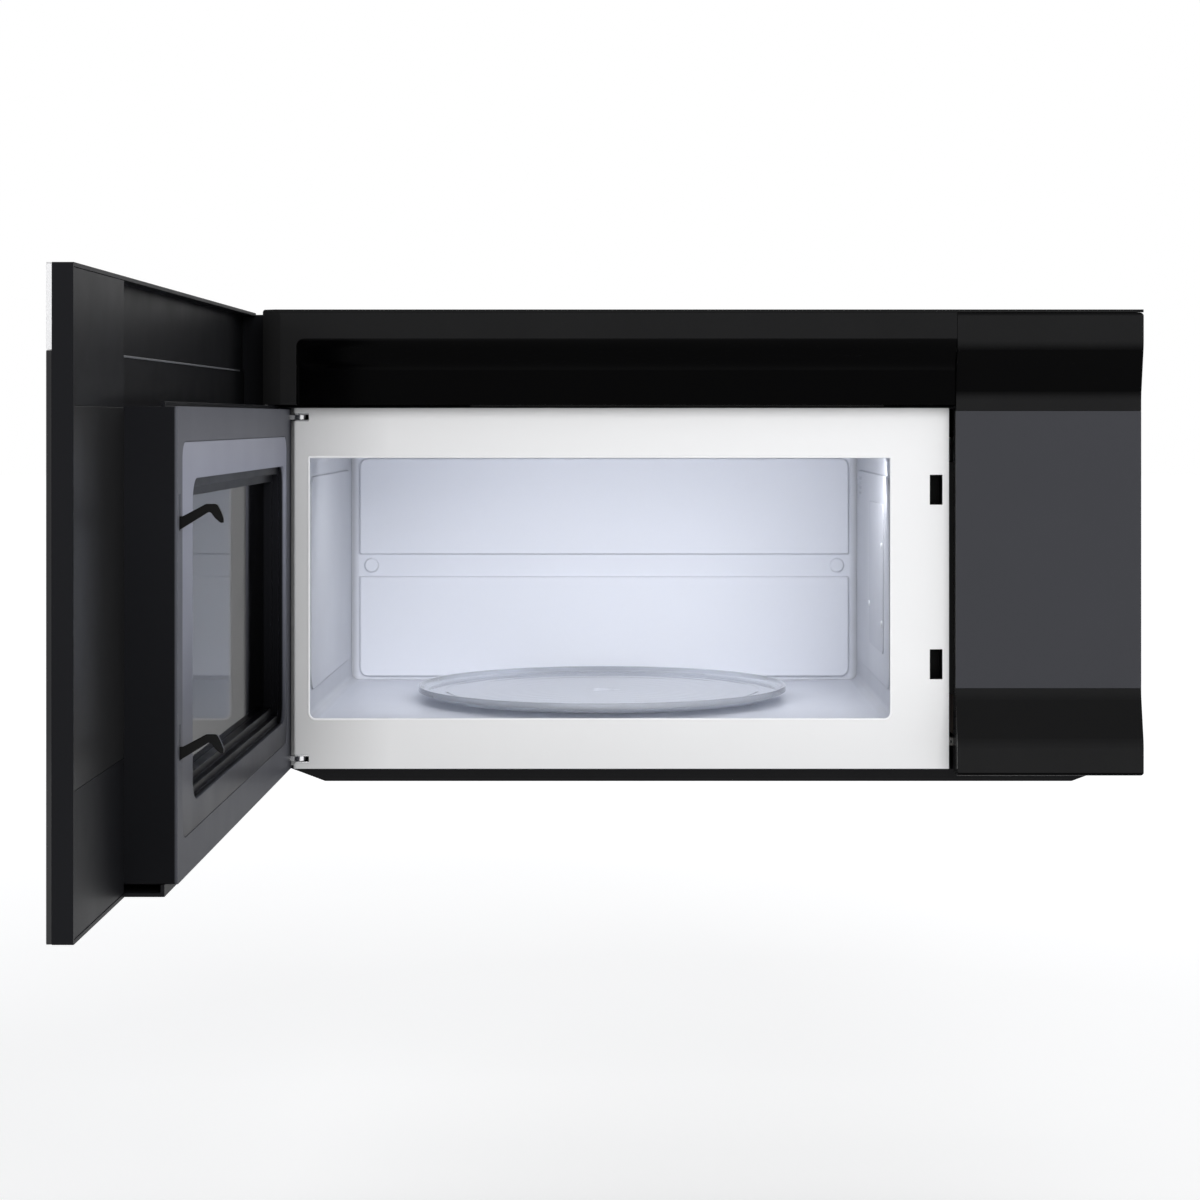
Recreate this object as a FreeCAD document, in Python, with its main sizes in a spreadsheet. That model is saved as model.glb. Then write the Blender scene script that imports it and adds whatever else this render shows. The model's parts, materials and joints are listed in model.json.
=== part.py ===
import os
import re

import FreeCAD
import Part
import Sketcher

# Over the range microwave with its door swung open.
# Frame: origin at the centre of the rear face that lies on the wall, X to the right seen
# from the front, Y towards the wall (everything is at negative Y), Z up.  Millimetres.

os.makedirs("parts", exist_ok=True)
doc = FreeCAD.newDocument("OverRangeMicrowave")
sheet = doc.addObject("Spreadsheet::Sheet", "Sizes")
aliases = set()
derived = {}
nodes = []


def size(alias, value, note):
    """One driving dimension: a row of the sheet with its note, value and alias."""
    row = len(aliases) + 1
    sheet.set("A%d" % row, note)
    sheet.set("B%d" % row, str(value))
    sheet.setAlias("B%d" % row, alias)
    aliases.add(alias)


# ---- overall body -------------------------------------------------------------------
size("half_width", 379.5, "half the width of the cabinet")
size("body_depth", 382, "wall to the front face of the oven frame")
size("top_rise", 208, "origin up to the top of the cabinet")
size("base_drop", 191, "origin down to the underside of the base plate")
size("pan_depth", 17, "depth of the hood pan")
size("case_sheet", 1.0, "sheet of the cabinet")
size("seat_gap", 0.3, "gap between pieces that lie against each other")
# ---- oven front frame ---------------------------------------------------------------
size("frame_past_hinge", 5.5, "oven frame beyond the hinge axis")
size("frame_bend", 2.4, "bend of the oven frame beside the hinge")
size("frame_stile", 48.4, "oven frame right of the oven")
size("frame_top", 123.6, "upper edge of the oven frame")
size("frame_sheet", 1.0, "sheet of the oven frame")
size("frame_return", 24, "depth of the step beside the hinge")
size("mouth_lip", 2, "oven frame lip inside the oven walls")
size("mouth_round", 6, "lower corners of the oven mouth")
# ---- oven cavity --------------------------------------------------------------------
size("oven_inset", 11.5, "left oven wall in from the edge of the frame")
size("oven_right", 168, "inner right wall of the oven")
size("oven_floor", 149, "oven floor below the origin")
size("oven_roof", 83, "oven ceiling above the origin")
size("oven_back", 20, "oven back wall in front of the wall")
size("oven_sheet", 1.0, "sheet of the oven")
size("oven_round", 8, "long inner corners of the oven")
size("panel_margin", 9, "edge of the raised panel on the back wall")
size("panel_raise", 2.5, "how far that panel stands forward")
size("channel_top", -22, "upper edge of the channel across the back wall")
size("channel_bottom", -45, "lower edge of that channel")
size("side_raise", 1.5, "how far the pressed side panels stand in")
size("side_front", 22, "pressed side panels behind the face of the oven frame")
size("side_rear", 20, "pressed side panels in front of the back wall")
size("side_low", 24, "pressed side panels above the oven floor")
size("side_high", 20, "pressed side panels below the oven ceiling")
size("side_round", 20, "corners of the pressed side panels")
size("dimple_radius", 6.8, "round dimples at the ends of the channel")
# ---- turntable ----------------------------------------------------------------------
size("track_drop", 8, "depth of the roller track below the oven floor")
size("track_radius", 124, "rim of the roller track")
size("tray_clear", 9, "glass tray to the oven front and back")
size("tray_glass", 4, "thickness of the glass tray")
size("tray_rim", 9, "height of the tray rim above its underside")
size("ring_radius", 100, "middle of the roller ring")
size("ring_bar", 5, "thickness of the roller ring")
size("roller_radius", 6.5, "turntable rollers")
size("roller_width", 8, "width of a roller")
size("roller_out", 110, "turntable centre to the middle of a roller")
size("roller_pin", 1.6, "radius of the roller pins")
size("pin_fit", 0.08, "running clearance on a pin, on the radius")
size("shaft_radius", 3.5, "turntable shaft")
# ---- hinge --------------------------------------------------------------------------
size("hinge_inset", 31.5, "hinge axis in from the side of the cabinet")
size("hinge_set_back", 8, "hinge axis behind the face of the oven frame")
size("hinge_drop", 8.1, "upper hinge arm below the top of the oven frame")
size("hinge_lift", 9.5, "lower hinge arm above the base plate")
size("hinge_bar", 4, "thickness of a hinge arm")
size("hinge_slot", 7, "height of the slots the arms pass")
size("hinge_pin", 2.2, "radius of a hinge pin")
size("open_angle", 90, "door angle in the rest pose, measured from closed")
# ---- latch --------------------------------------------------------------------------
size("latch_inset", 11.2, "latch slots in from the right edge of the oven frame")
size("latch_slot_width", 11, "width of a latch slot")
size("latch_slot_height", 26, "height of a latch slot")
size("latch_high", 52.5, "middle of the upper latch slot")
size("latch_low", -99.2, "middle of the lower latch slot")
size("latch_bar", 3, "thickness of a latch hook")
size("latch_reach", 29, "hook beyond the face of the inner door")
size("latch_travel", 5, "how far the latch lifts")
# ---- front panels -------------------------------------------------------------------
size("panel_proud", 31, "fixed black panels in front of the oven frame")
size("fascia_inset", 2.5, "end of the fascia in from the side of the cabinet")
size("fascia_lift", 2.4, "fascia above the oven frame")
size("scoop_drop", 28, "scoop below the top of the cabinet")
size("scoop_depth", 13, "depth of the scoop at its lower edge")
size("scoop_margin", 30, "plain end of the fascia left of the scoop")
size("swing_radius", 41, "hinge axis to the rounded end of the fascia")
size("panel_gap", 3.6, "dark gap beside the oven frame")
size("panel_lip", 1, "right panel below the base plate")
size("inset_drop", 2.6, "grey inset below the top of the oven frame")
size("inset_bottom", 118, "lower edge of the grey inset")
size("inset_set_back", 11, "grey inset behind the bulges of its panel")
size("inset_thick", 3, "thickness of the grey inset")
size("trim_thick", 2.5, "thickness of the top trim")
size("trim_round", 2.4, "upper left corner of the top trim")
size("panel_round", 3, "right corners of the right panel")
size("scoop_round", 7, "upper left corner of the scoop")
# ---- door, all given as it lies when it is closed -----------------------------------
size("door_short", 8.5, "free edge of the door in from the side of the cabinet")
size("door_top_gap", 0.5, "door below the top of the cabinet")
size("door_skirt", 8, "door below the base plate")
size("door_thick", 16.5, "thickness of the outer door")
size("door_gap", 4.6, "gap between the fixed panels and the closed door")
size("skin_thick", 3.7, "front glass and top band of the door")
size("tray_wall", 1.2, "sheet behind the door skin")
size("rim_wall", 2.6, "walls around the outer door")
size("hinge_wall", 7, "hinge side wall of the outer door past its other walls")
size("strip_set_back", 8.5, "strips along the inner door behind its face")
size("strip_sheet", 2.5, "thickness of those strips")
size("strip_rise", 3.2, "upper strip above the inner door")
size("band_height", 52.1, "height of the steel band")
size("rail_depth", 6.4, "outer face of the door to the rail above the inner door")
size("box_past_hinge", 5, "inner door beyond the hinge axis")
size("box_gap", 5, "inner door to the right front panel")
size("box_drop", 1.2, "inner door below the top of the oven frame")
size("door_play", 1, "gap between the oven frame and the closed inner door")
size("box_sheet", 1.0, "sheet of the inner door")
size("choke_side", 30, "choke cover in from the hinge side")
size("choke_free", 19.5, "choke cover in from the free side")
size("choke_drop", 23.4, "choke cover below the top of the inner door")
size("choke_lift", 26, "choke cover above the foot of the inner door")
size("choke_round", 12, "corners of the choke cover")
size("choke_depth", 17, "depth of the choke cover")
size("well_side", 9, "window well in from the left of the choke cover")
size("well_free", 41, "window well in from the right of the choke cover")
size("well_drop", 25.4, "window well below the top of the choke cover")
size("well_lift", 19.4, "window well above the foot of the choke cover")
size("well_step", 13, "window well to the window, over two steps")
size("well_round", 17, "corners of the window well")
size("pane_thick", 3, "inner window glass")
size("cover_thick", 2.5, "covers over the door electronics")
size("split_drop", 1.9, "joint of upper and middle cover below the top of the frame")
size("cover_split_low", 108, "joint between middle and lower cover, below the origin")
# ---- hood pan -----------------------------------------------------------------------
size("pan_inset", 2, "hood pan in from the side of the cabinet")
size("pan_taper", 45.5, "how far each end of the hood pan slopes in")
size("pan_set_back", 53, "hood pan behind the face of the oven frame")
size("pan_rear", 12, "rear of the hood pan")
size("filter_long", 250, "grease filter across")
size("filter_deep", 150, "grease filter front to back")
size("filter_thick", 9, "grease filter thickness")
size("filter_offset", 150, "middle of a grease filter from the centre line")
size("lamp_offset", 190, "middle of a cooktop lamp from the centre line")
size("lamp_long", 70, "cooktop lamp across")
size("lamp_deep", 44, "cooktop lamp front to back")
# ---- machinery ----------------------------------------------------------------------
size("fan_radius", 52, "cooling fan")
size("blower_radius", 38, "vent blower impellers")
size("blower_length", 62, "length of a vent blower impeller")
size("cooling_inset", 69.5, "cooling fan axis in from the side")
size("cooling_z", 30, "cooling fan axis above the origin")
size("blower_y", 90, "vent blower axis in front of the wall")
size("blower_clear", 4.4, "vent impellers above the oven frame")
size("exhaust_long", 250, "exhaust outlet across")
size("exhaust_deep", 84, "exhaust outlet front to back")
size("rear_sheet", 1.2, "sheet of the rear panel")
size("bolt_hole", 3.6, "radius of the cabinet bolt holes")
size("bolt_offset", 305, "cabinet bolt holes from the centre line")
size("bolt_y", 150, "cabinet bolt holes in front of the wall")
size("gland_inset", 59.5, "cord inlet in from the side")
size("gland_y", 45, "cord inlet in front of the wall")
size("gland_neck", 11, "radius of the cord inlet")
size("screw_head", 4, "radius of a screw head")
size("screw_shank", 1.6, "radius of a screw shank")
size("screw_inset", 20, "base screws in from the side of the cabinet")
size("deck_inlet_x", 250, "air inlets of the duct deck from the centre line")
size("deck_inlet_y", 120, "air inlets of the duct deck in front of the wall")
size("filter_gap", 28, "grease filters behind the cooktop lamps")
size("cook_lamp_set_back", 97, "cooktop lamps behind the face of the oven frame")
size("pan_sheet", 1.2, "sheet of the hood pan")
size("port_set_back", 138, "microwave port behind the face of the oven frame")
size("port_z", -30, "microwave port above the origin")
size("port_half", 55, "half the side of the microwave port")
size("guide_reach", 40, "depth of the waveguide")
size("lamp_y", 75, "oven lamp in front of the wall")
size("lamp_z", 48, "oven lamp above the origin")
size("latch_board_side", 6.1, "latch board beyond the oven frame")
size("latch_drop", 11.5, "middle of a latch slot down to the foot of the hook")
size("machine_inset", 79.5, "transformer and power board in from the side")
size("transformer_y", 150, "transformer in front of the wall")
size("blower_gap", 68, "length of the vent blower motor")
size("vent_pitch", 84, "spacing of the slots in the top trim")
size("display_z", 92, "middle of the display above the origin")
size("choke_gap", 0.3, "gap around the choke cover")
# ---- places that follow from the sizes above ------------------------------------------
derived["frame_left"] = "hinge_x + frame_past_hinge"
derived["hinge_x"] = "half_width - hinge_inset"
derived["hinge_y"] = "body_depth - hinge_set_back"
derived["hinge_high"] = "frame_top - hinge_drop"
derived["hinge_low"] = "-(base_drop - hinge_lift)"
derived["frame_bottom"] = "base_drop - case_sheet"
derived["frame_right"] = "oven_right + frame_stile"
derived["mouth_left"] = "oven_left - mouth_lip"
derived["mouth_right"] = "oven_right - mouth_lip"
derived["mouth_bottom"] = "oven_floor - mouth_lip"
derived["mouth_top"] = "oven_roof - mouth_lip"
derived["oven_left"] = "frame_left - oven_inset"
derived["table_x"] = "(oven_right - oven_left) / 2"
derived["table_y"] = "-(body_depth + oven_back) / 2"
derived["tray_radius"] = "(body_depth - oven_back) / 2 - tray_clear"
derived["tray_under"] = "oven_floor + track_drop - 2 * roller_radius - 2 * seat_gap"
derived["latch_x"] = "frame_right - latch_inset"
derived["latch_board_right"] = "frame_right + latch_board_side"
derived["panel_front"] = "body_depth + panel_proud"
derived["fascia_left"] = "half_width - fascia_inset"
derived["fascia_bottom"] = "frame_top + fascia_lift"
derived["scoop_top"] = "top_rise - scoop_drop"
derived["panel_left"] = "frame_right + panel_gap"
derived["panel_low"] = "base_drop + panel_lip"
derived["panel_high"] = "top_rise - trim_thick - 0.1"
derived["inset_top"] = "frame_top - inset_drop"
derived["inset_face"] = "panel_front - inset_set_back"
derived["door_left"] = "half_width"
derived["door_right"] = "half_width - door_short"
derived["door_top"] = "top_rise - door_top_gap"
derived["door_bottom"] = "base_drop + door_skirt"
derived["door_rim"] = "panel_front + door_gap"
derived["door_face"] = "door_rim + door_thick"
derived["band_bottom"] = "door_top - band_height"
derived["rail_face"] = "door_face - rail_depth"
derived["box_left"] = "hinge_x + box_past_hinge"
derived["box_right"] = "panel_left - box_gap"
derived["box_top"] = "frame_top - box_drop"
derived["box_bottom"] = "base_drop"
derived["box_face"] = "body_depth + door_play"
derived["choke_left"] = "box_left - choke_side"
derived["choke_right"] = "box_right - choke_free"
derived["choke_top"] = "box_top - choke_drop"
derived["choke_bottom"] = "box_bottom - choke_lift"
derived["choke_back"] = "box_face + choke_depth"
derived["well_left"] = "choke_left - well_side"
derived["well_right"] = "choke_right - well_free"
derived["well_top"] = "choke_top - well_drop"
derived["well_bottom"] = "choke_bottom - well_lift"
derived["cover_split_high"] = "frame_top - split_drop"
derived["pan_drop"] = "base_drop + pan_depth"
derived["pan_half_top"] = "half_width - pan_inset"
derived["pan_half_low"] = "pan_half_top - pan_taper"
derived["pan_front"] = "body_depth - pan_set_back"
derived["cooling_x"] = "half_width - cooling_inset"
derived["transformer_x"] = "half_width - machine_inset"
derived["power_board_x"] = "half_width - machine_inset"
derived["gland_x"] = "half_width - gland_inset"
derived["cook_lamp_y"] = "body_depth - cook_lamp_set_back"
derived["filter_y"] = "cook_lamp_y - (lamp_deep + filter_deep) / 2 - filter_gap"
derived["port_y"] = "body_depth - port_set_back"
derived["display_x"] = "(box_right + door_right) / 2"
derived["blower_z"] = "frame_top + blower_radius + blower_clear"
sheet.recompute()

CYCLE_X = FreeCAD.Rotation(FreeCAD.Vector(1, 1, 1), 120)
CYCLE_Y = FreeCAD.Rotation(FreeCAD.Vector(1, 1, 1), 240)
TURNS = {"x": CYCLE_X, "y": CYCLE_Y, "z": FreeCAD.Rotation()}
# the two directions across each axis, in the order that keeps the frame right handed
ACROSS = {"x": ("y", "z"), "y": ("z", "x"), "z": ("x", "y")}


def formula(text):
    """Turns a text written with the sheet's aliases into an expression of the document."""
    def prefixed(match):
        word = match.group(0)
        if word in derived:
            return "(%s)" % formula(derived[word])
        return "Sizes." + word if word in aliases else word
    return re.sub(r"[a-z_][a-z_0-9]*", prefixed, str(text))


def value(text):
    """The present number of such a text, for lookups that need one."""
    return float(sheet.evalExpression(formula(text)))


def bind(thing, path, text):
    thing.setExpression(path, formula(text))


def place(thing, axis, corner):
    """Lays a piece's own Z along the axis and binds its corner, in x, y, z order."""
    thing.Placement = FreeCAD.Placement(FreeCAD.Vector(), TURNS[axis])
    for direction, text in zip("xyz", corner):
        bind(thing, "Placement.Base." + direction, text)


def block(name, x, y, z):
    """A box between two texts along each direction."""
    box = doc.addObject("Part::Box", name)
    for side, (low, high) in (("Length", x), ("Width", y), ("Height", z)):
        bind(box, side, "(%s) - (%s)" % (high, low))
    place(box, "z", (x[0], y[0], z[0]))
    return box


def rod(name, axis, centre, radius, span):
    """A cylinder along an axis; centre is given in the two directions across, x before y
    before z."""
    cylinder = doc.addObject("Part::Cylinder", name)
    bind(cylinder, "Radius", radius)
    bind(cylinder, "Height", "(%s) - (%s)" % (span[1], span[0]))
    corner = list(centre)
    corner.insert("xyz".index(axis), span[0])
    place(cylinder, axis, corner)
    return cylinder


def tube(name, axis, centre, radius, bore, span):
    """A cylinder with a bore right through."""
    longer = ("(%s) - 1" % span[0], "(%s) + 1" % span[1])
    return minus(name, rod(name + "_outside", axis, centre, radius, span),
                 rod(name + "_bore", axis, centre, bore, longer))


def joined(name, *pieces):
    """Several shapes that make one solid."""
    fused = doc.addObject("Part::MultiFuse", name)
    fused.Shapes = list(pieces)
    return fused


def minus(name, base, *tools):
    """A shape with others cut out of it."""
    cut = doc.addObject("Part::Cut", name)
    cut.Base = base
    cut.Tool = tools[0] if len(tools) == 1 else joined(name + "_cuts", *tools)
    return cut


def group(name, *pieces):
    """Separate solids that share one node."""
    compound = doc.addObject("Part::Compound", name)
    compound.Links = list(pieces)
    return compound


def node(name, thing, hung=False):
    """Names a finished sub-part.  A piece of the door is swung to its rest pose."""
    if hung:
        thing = group(name + "_hung", thing)
        swing = FreeCAD.Rotation(FreeCAD.Vector(0, 0, -1), value("open_angle"))
        thing.Placement = FreeCAD.Placement(FreeCAD.Vector(), swing)
        bind(thing, "Placement.Base.x",
             "-hinge_x + hinge_x * cos(open_angle) + hinge_y * sin(open_angle)")
        bind(thing, "Placement.Base.y",
             "-hinge_y - hinge_x * sin(open_angle) + hinge_y * cos(open_angle)")
        bind(thing, "Placement.Rotation.Angle", "open_angle")
    thing.Label = name
    nodes.append(thing)
    return thing


def outline(body, points, plane):
    """A closed sketch through the points, each held by its two distances from the origin."""
    drawing = body.newObject("Sketcher::SketchObject", body.Name + "_outline")
    support = [f for f in body.Origin.OriginFeatures if f.Role == plane][0]
    drawing.AttachmentSupport = [(support, "")]
    drawing.MapMode = "FlatFace"
    corners = [FreeCAD.Vector(value(u), value(v), 0) for u, v in points]
    for here, there in zip(corners, corners[1:] + corners[:1]):
        drawing.addGeometry(Part.LineSegment(here, there), False)
    count = len(points)
    for edge in range(count):
        drawing.addConstraint(Sketcher.Constraint("Coincident", edge, 2, (edge + 1) % count, 1))
    for edge, (u, v) in enumerate(points):
        for kind, text, here in (("DistanceX", u, corners[edge].x), ("DistanceY", v, corners[edge].y)):
            index = drawing.addConstraint(Sketcher.Constraint(kind, -1, 1, edge, 1, here))
            drawing.setExpression("Constraints[%d]" % index, formula(text))
    return drawing


def prism(name, axis, points, span, rounds=()):
    """An outline drawn across the axis and padded along it.  The points are given in the two
    directions across, x before y before z.  rounds holds (corner numbers, radius) pairs."""
    body = doc.addObject("PartDesign::Body", name)
    swapped = axis == "y"
    drawn = [(v, u) for u, v in points] if swapped else list(points)
    drawing = outline(body, drawn, "XY_Plane")
    pad = body.newObject("PartDesign::Pad", name + "_pad")
    pad.Profile = drawing
    bind(pad, "Length", "(%s) - (%s)" % (span[1], span[0]))
    drawing.Visibility = False
    corner = ["0", "0", "0"]
    corner["xyz".index(axis)] = span[0]
    place(body, axis, corner)
    for number, (corners, radius) in enumerate(rounds):
        doc.recompute()
        wanted = [(value(drawn[c][0]), value(drawn[c][1])) for c in corners]
        tip = body.Tip
        edges = []
        for index, edge in enumerate(tip.Shape.Edges):
            ends = [vertex.Point for vertex in edge.Vertexes]
            upright = len(ends) == 2 and abs(ends[0].z - ends[1].z) > 1e-6
            if upright and any(abs(ends[0].x - u) + abs(ends[0].y - v) < 1e-4 for u, v in wanted):
                edges.append("Edge%d" % (index + 1))
        fillet = body.newObject("PartDesign::Fillet", "%s_round_%d" % (name, number))
        fillet.Base = (tip, edges)
        bind(fillet, "Radius", radius)
    return body


def slab(name, axis, first, second, span, rounds=()):
    """A rectangular prism, first and second being its spans across the axis."""
    points = [(first[0], second[0]), (first[1], second[0]), (first[1], second[1]),
              (first[0], second[1])]
    return prism(name, axis, points, span, rounds)


ALL_FOUR = (0, 1, 2, 3)


def turned(name, centre, points):
    """A profile of (radius, height) points turned about an upright axis."""
    body = doc.addObject("PartDesign::Body", name)
    drawing = outline(body, points, "XZ_Plane")
    spun = body.newObject("PartDesign::Revolution", name + "_turn")
    spun.Profile = drawing
    spun.ReferenceAxis = (drawing, ["V_Axis"])
    spun.Angle = 360
    place(body, "z", (centre[0], centre[1], "0"))
    return body


def copy_about(name, thing, axis, centre, angle):
    """The same shape turned about an axis; centre is in the two directions across, x before
    y before z, and the angle is a text."""
    turned_copy = group(name, thing)
    around = {"x": FreeCAD.Vector(1, 0, 0), "y": FreeCAD.Vector(0, 1, 0),
              "z": FreeCAD.Vector(0, 0, 1)}[axis]
    turned_copy.Placement = FreeCAD.Placement(FreeCAD.Vector(), FreeCAD.Rotation(around, 1))
    bind(turned_copy, "Placement.Rotation.Angle", angle)
    first, second = ACROSS[axis]
    middle = dict(zip([way for way in "xyz" if way != axis], centre))
    u, v = middle[first], middle[second]
    bind(turned_copy, "Placement.Base." + first,
         "(%s) - (%s) * cos(%s) + (%s) * sin(%s)" % (u, u, angle, v, angle))
    bind(turned_copy, "Placement.Base." + second,
         "(%s) - (%s) * sin(%s) - (%s) * cos(%s)" % (v, u, angle, v, angle))
    return turned_copy


# ======================================================================================
# cabinet
# ======================================================================================
def cabinet_shell():
    inner_half = "half_width - case_sheet"
    top = block("wrap_top", ("-half_width", "half_width"), ("-body_depth", "-rear_sheet"),
                ("top_rise - case_sheet", "top_rise"))
    low = "-base_drop + case_sheet"
    left = block("wrap_left", ("-half_width", "-(%s)" % inner_half),
                 ("-body_depth", "-rear_sheet"), (low, "top_rise - case_sheet"))
    right = block("wrap_right", (inner_half, "half_width"), ("-body_depth", "-rear_sheet"),
                  (low, "top_rise - case_sheet"))
    # the door swings past the front of the left wall, so the wall steps back there
    notch = block("wrap_notch", ("-half_width - 1", "-half_width + 3 * case_sheet"),
                  ("-body_depth - 1", "-body_depth + frame_return"),
                  ("-base_drop - 1", "fascia_bottom"))
    outlet = block("wrap_outlet", ("-exhaust_long / 2", "exhaust_long / 2"),
                   ("-blower_y - exhaust_deep / 2", "-blower_y + exhaust_deep / 2"),
                   ("top_rise - 5", "top_rise + 5"))
    holes = [rod("wrap_bolt_%d" % side, "z", ("%d * bolt_offset" % side, "-bolt_y"), "bolt_hole",
                 ("top_rise - 5", "top_rise + 5")) for side in (-1, 1)]
    cord_hole = rod("wrap_cord_hole", "z", ("gland_x", "-gland_y"), "gland_neck + seat_gap",
                    ("top_rise - 5", "top_rise + 5"))
    # three sheets, spot welded along their edges
    node("outer_wrap", group("wrap", minus("wrap_top_sheet", top, outlet, cord_hole, *holes),
                             minus("wrap_left_sheet", left, notch), right))

    node("rear_panel", block("rear_sheet_plate", ("-half_width", "half_width"),
                             ("-rear_sheet", "0"), ("-base_drop", "top_rise")))

    plate = block("base_sheet", ("-half_width", "half_width"),
                  ("-body_depth + frame_sheet", "-rear_sheet"),
                  ("-base_drop", "-base_drop + case_sheet"))
    corner = block("base_corner", ("-half_width - 1", "-frame_left + frame_sheet"),
                   ("-body_depth - 1", "-body_depth + frame_return"),
                   ("-base_drop - 1", "-base_drop + 5"))
    cuts = [corner]
    for side in (-1, 1):
        middle = "%d * filter_offset" % side
        cuts.append(block("base_intake_%d" % side,
                          (middle + " - filter_long / 2 + 20", middle + " + filter_long / 2 - 20"),
                          ("-filter_y - filter_deep / 2 + 15", "-filter_y + filter_deep / 2 - 15"),
                          ("-base_drop - 1", "-base_drop + 5")))
    for index, (across, along) in enumerate(screw_places()):
        cuts.append(rod("base_screw_hole_%d" % index, "z", (across, along),
                        "screw_shank + pin_fit", ("-base_drop - 1", "-base_drop + 5")))
    node("base_plate", minus("base", plate, *cuts))

    deck = block("deck_sheet", ("-half_width + case_sheet", "half_width - case_sheet"),
                 ("-body_depth + frame_sheet", "-rear_sheet"),
                 ("frame_top", "frame_top + case_sheet"))
    inlets = [block("deck_inlet_%d" % side,
                    ("%d * deck_inlet_x - 40" % side, "%d * deck_inlet_x + 40" % side),
                    ("-deck_inlet_y - 60", "-deck_inlet_y + 60"),
                    ("frame_top - 1", "frame_top + 5")) for side in (-1, 1)]
    node("air_deck", minus("deck", deck, *inlets))


def screw_places():
    return [("%d * (half_width - screw_inset)" % side, "-%s" % along)
            for side in (-1, 1) for along in ("40", "(body_depth / 2)", "(body_depth - 44)")]


def screws():
    pieces = []
    for index, (across, along) in enumerate(screw_places()):
        head = rod("screw_head_%d" % index, "z", (across, along), "screw_head",
                   ("-base_drop - 1.8", "-base_drop"))
        shank = rod("screw_shank_%d" % index, "z", (across, along), "screw_shank",
                    ("-base_drop - 1", "-base_drop + 8"))
        slot = block("screw_slot_%d" % index, (across + " - 2.4", across + " + 2.4"),
                     (along + " - 0.4", along + " + 0.4"), ("-base_drop - 2", "-base_drop - 1.1"))
        pieces.append(minus("screw_%d" % index, joined("screw_blank_%d" % index, head, shank), slot))
    node("base_screws", group("screws", *pieces))


# ======================================================================================
# oven front and cavity
# ======================================================================================
def hinge_heights():
    return (("high", "hinge_high"), ("low", "hinge_low"))


def latch_heights():
    return (("high", "latch_high"), ("low", "latch_low"))


def front_frame():
    front = ("-body_depth", "-body_depth + frame_sheet")
    plate = slab("frame_plate", "y", ("-frame_left + frame_bend", "frame_right"),
                 ("-frame_bottom", "frame_top"), front)
    mouth = slab("frame_mouth", "y", ("-mouth_left", "mouth_right"),
                 ("-mouth_bottom", "mouth_top"), ("-body_depth - 5", "-body_depth + 5"),
                 [((0, 1), "mouth_round")])
    bent = slab("frame_bend_outer", "z", ("-frame_left", "-frame_left + 2 * frame_bend"),
                ("-body_depth", "-body_depth + frame_return"), ("-frame_bottom", "frame_top"),
                [((0,), "frame_bend")])
    inside = slab("frame_bend_inner", "z", ("-frame_left + frame_sheet", "-frame_left + 3 * frame_bend"),
                  ("-body_depth + frame_sheet", "-body_depth + frame_return + 1"),
                  ("-frame_bottom - 1", "frame_top + 1"), [((0,), "frame_bend - frame_sheet")])
    side = minus("frame_side", bent, inside)
    step = block("frame_step", ("-half_width + case_sheet", "-frame_left + frame_sheet"),
                 ("-body_depth + frame_return", "-body_depth + frame_return + frame_sheet"),
                 ("-frame_bottom", "frame_top"))
    cuts = [mouth]
    for name, height in hinge_heights():
        cuts.append(block("frame_hinge_slot_" + name, ("-frame_left - 1", "-hinge_x + 8"),
                          ("-body_depth - 1", "-hinge_y + 10"),
                          (height + " - hinge_slot / 2", height + " + hinge_slot / 2")))
    for name, height in latch_heights():
        cuts.append(block("frame_latch_slot_" + name,
                          ("latch_x - latch_slot_width / 2", "latch_x + latch_slot_width / 2"),
                          ("-body_depth - 1", "-body_depth + 5"),
                          (height + " - latch_slot_height / 2", height + " + latch_slot_height / 2")))
    node("front_frame", minus("frame", joined("frame_sheet_metal", plate, side, step), *cuts))

    node("bay_plate", block("bay_sheet", ("latch_board_right + 0.5", "half_width - case_sheet"),
                            ("-body_depth + frame_sheet", "-body_depth + 2 * frame_sheet"),
                            ("-base_drop + case_sheet", "frame_top")))


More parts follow.
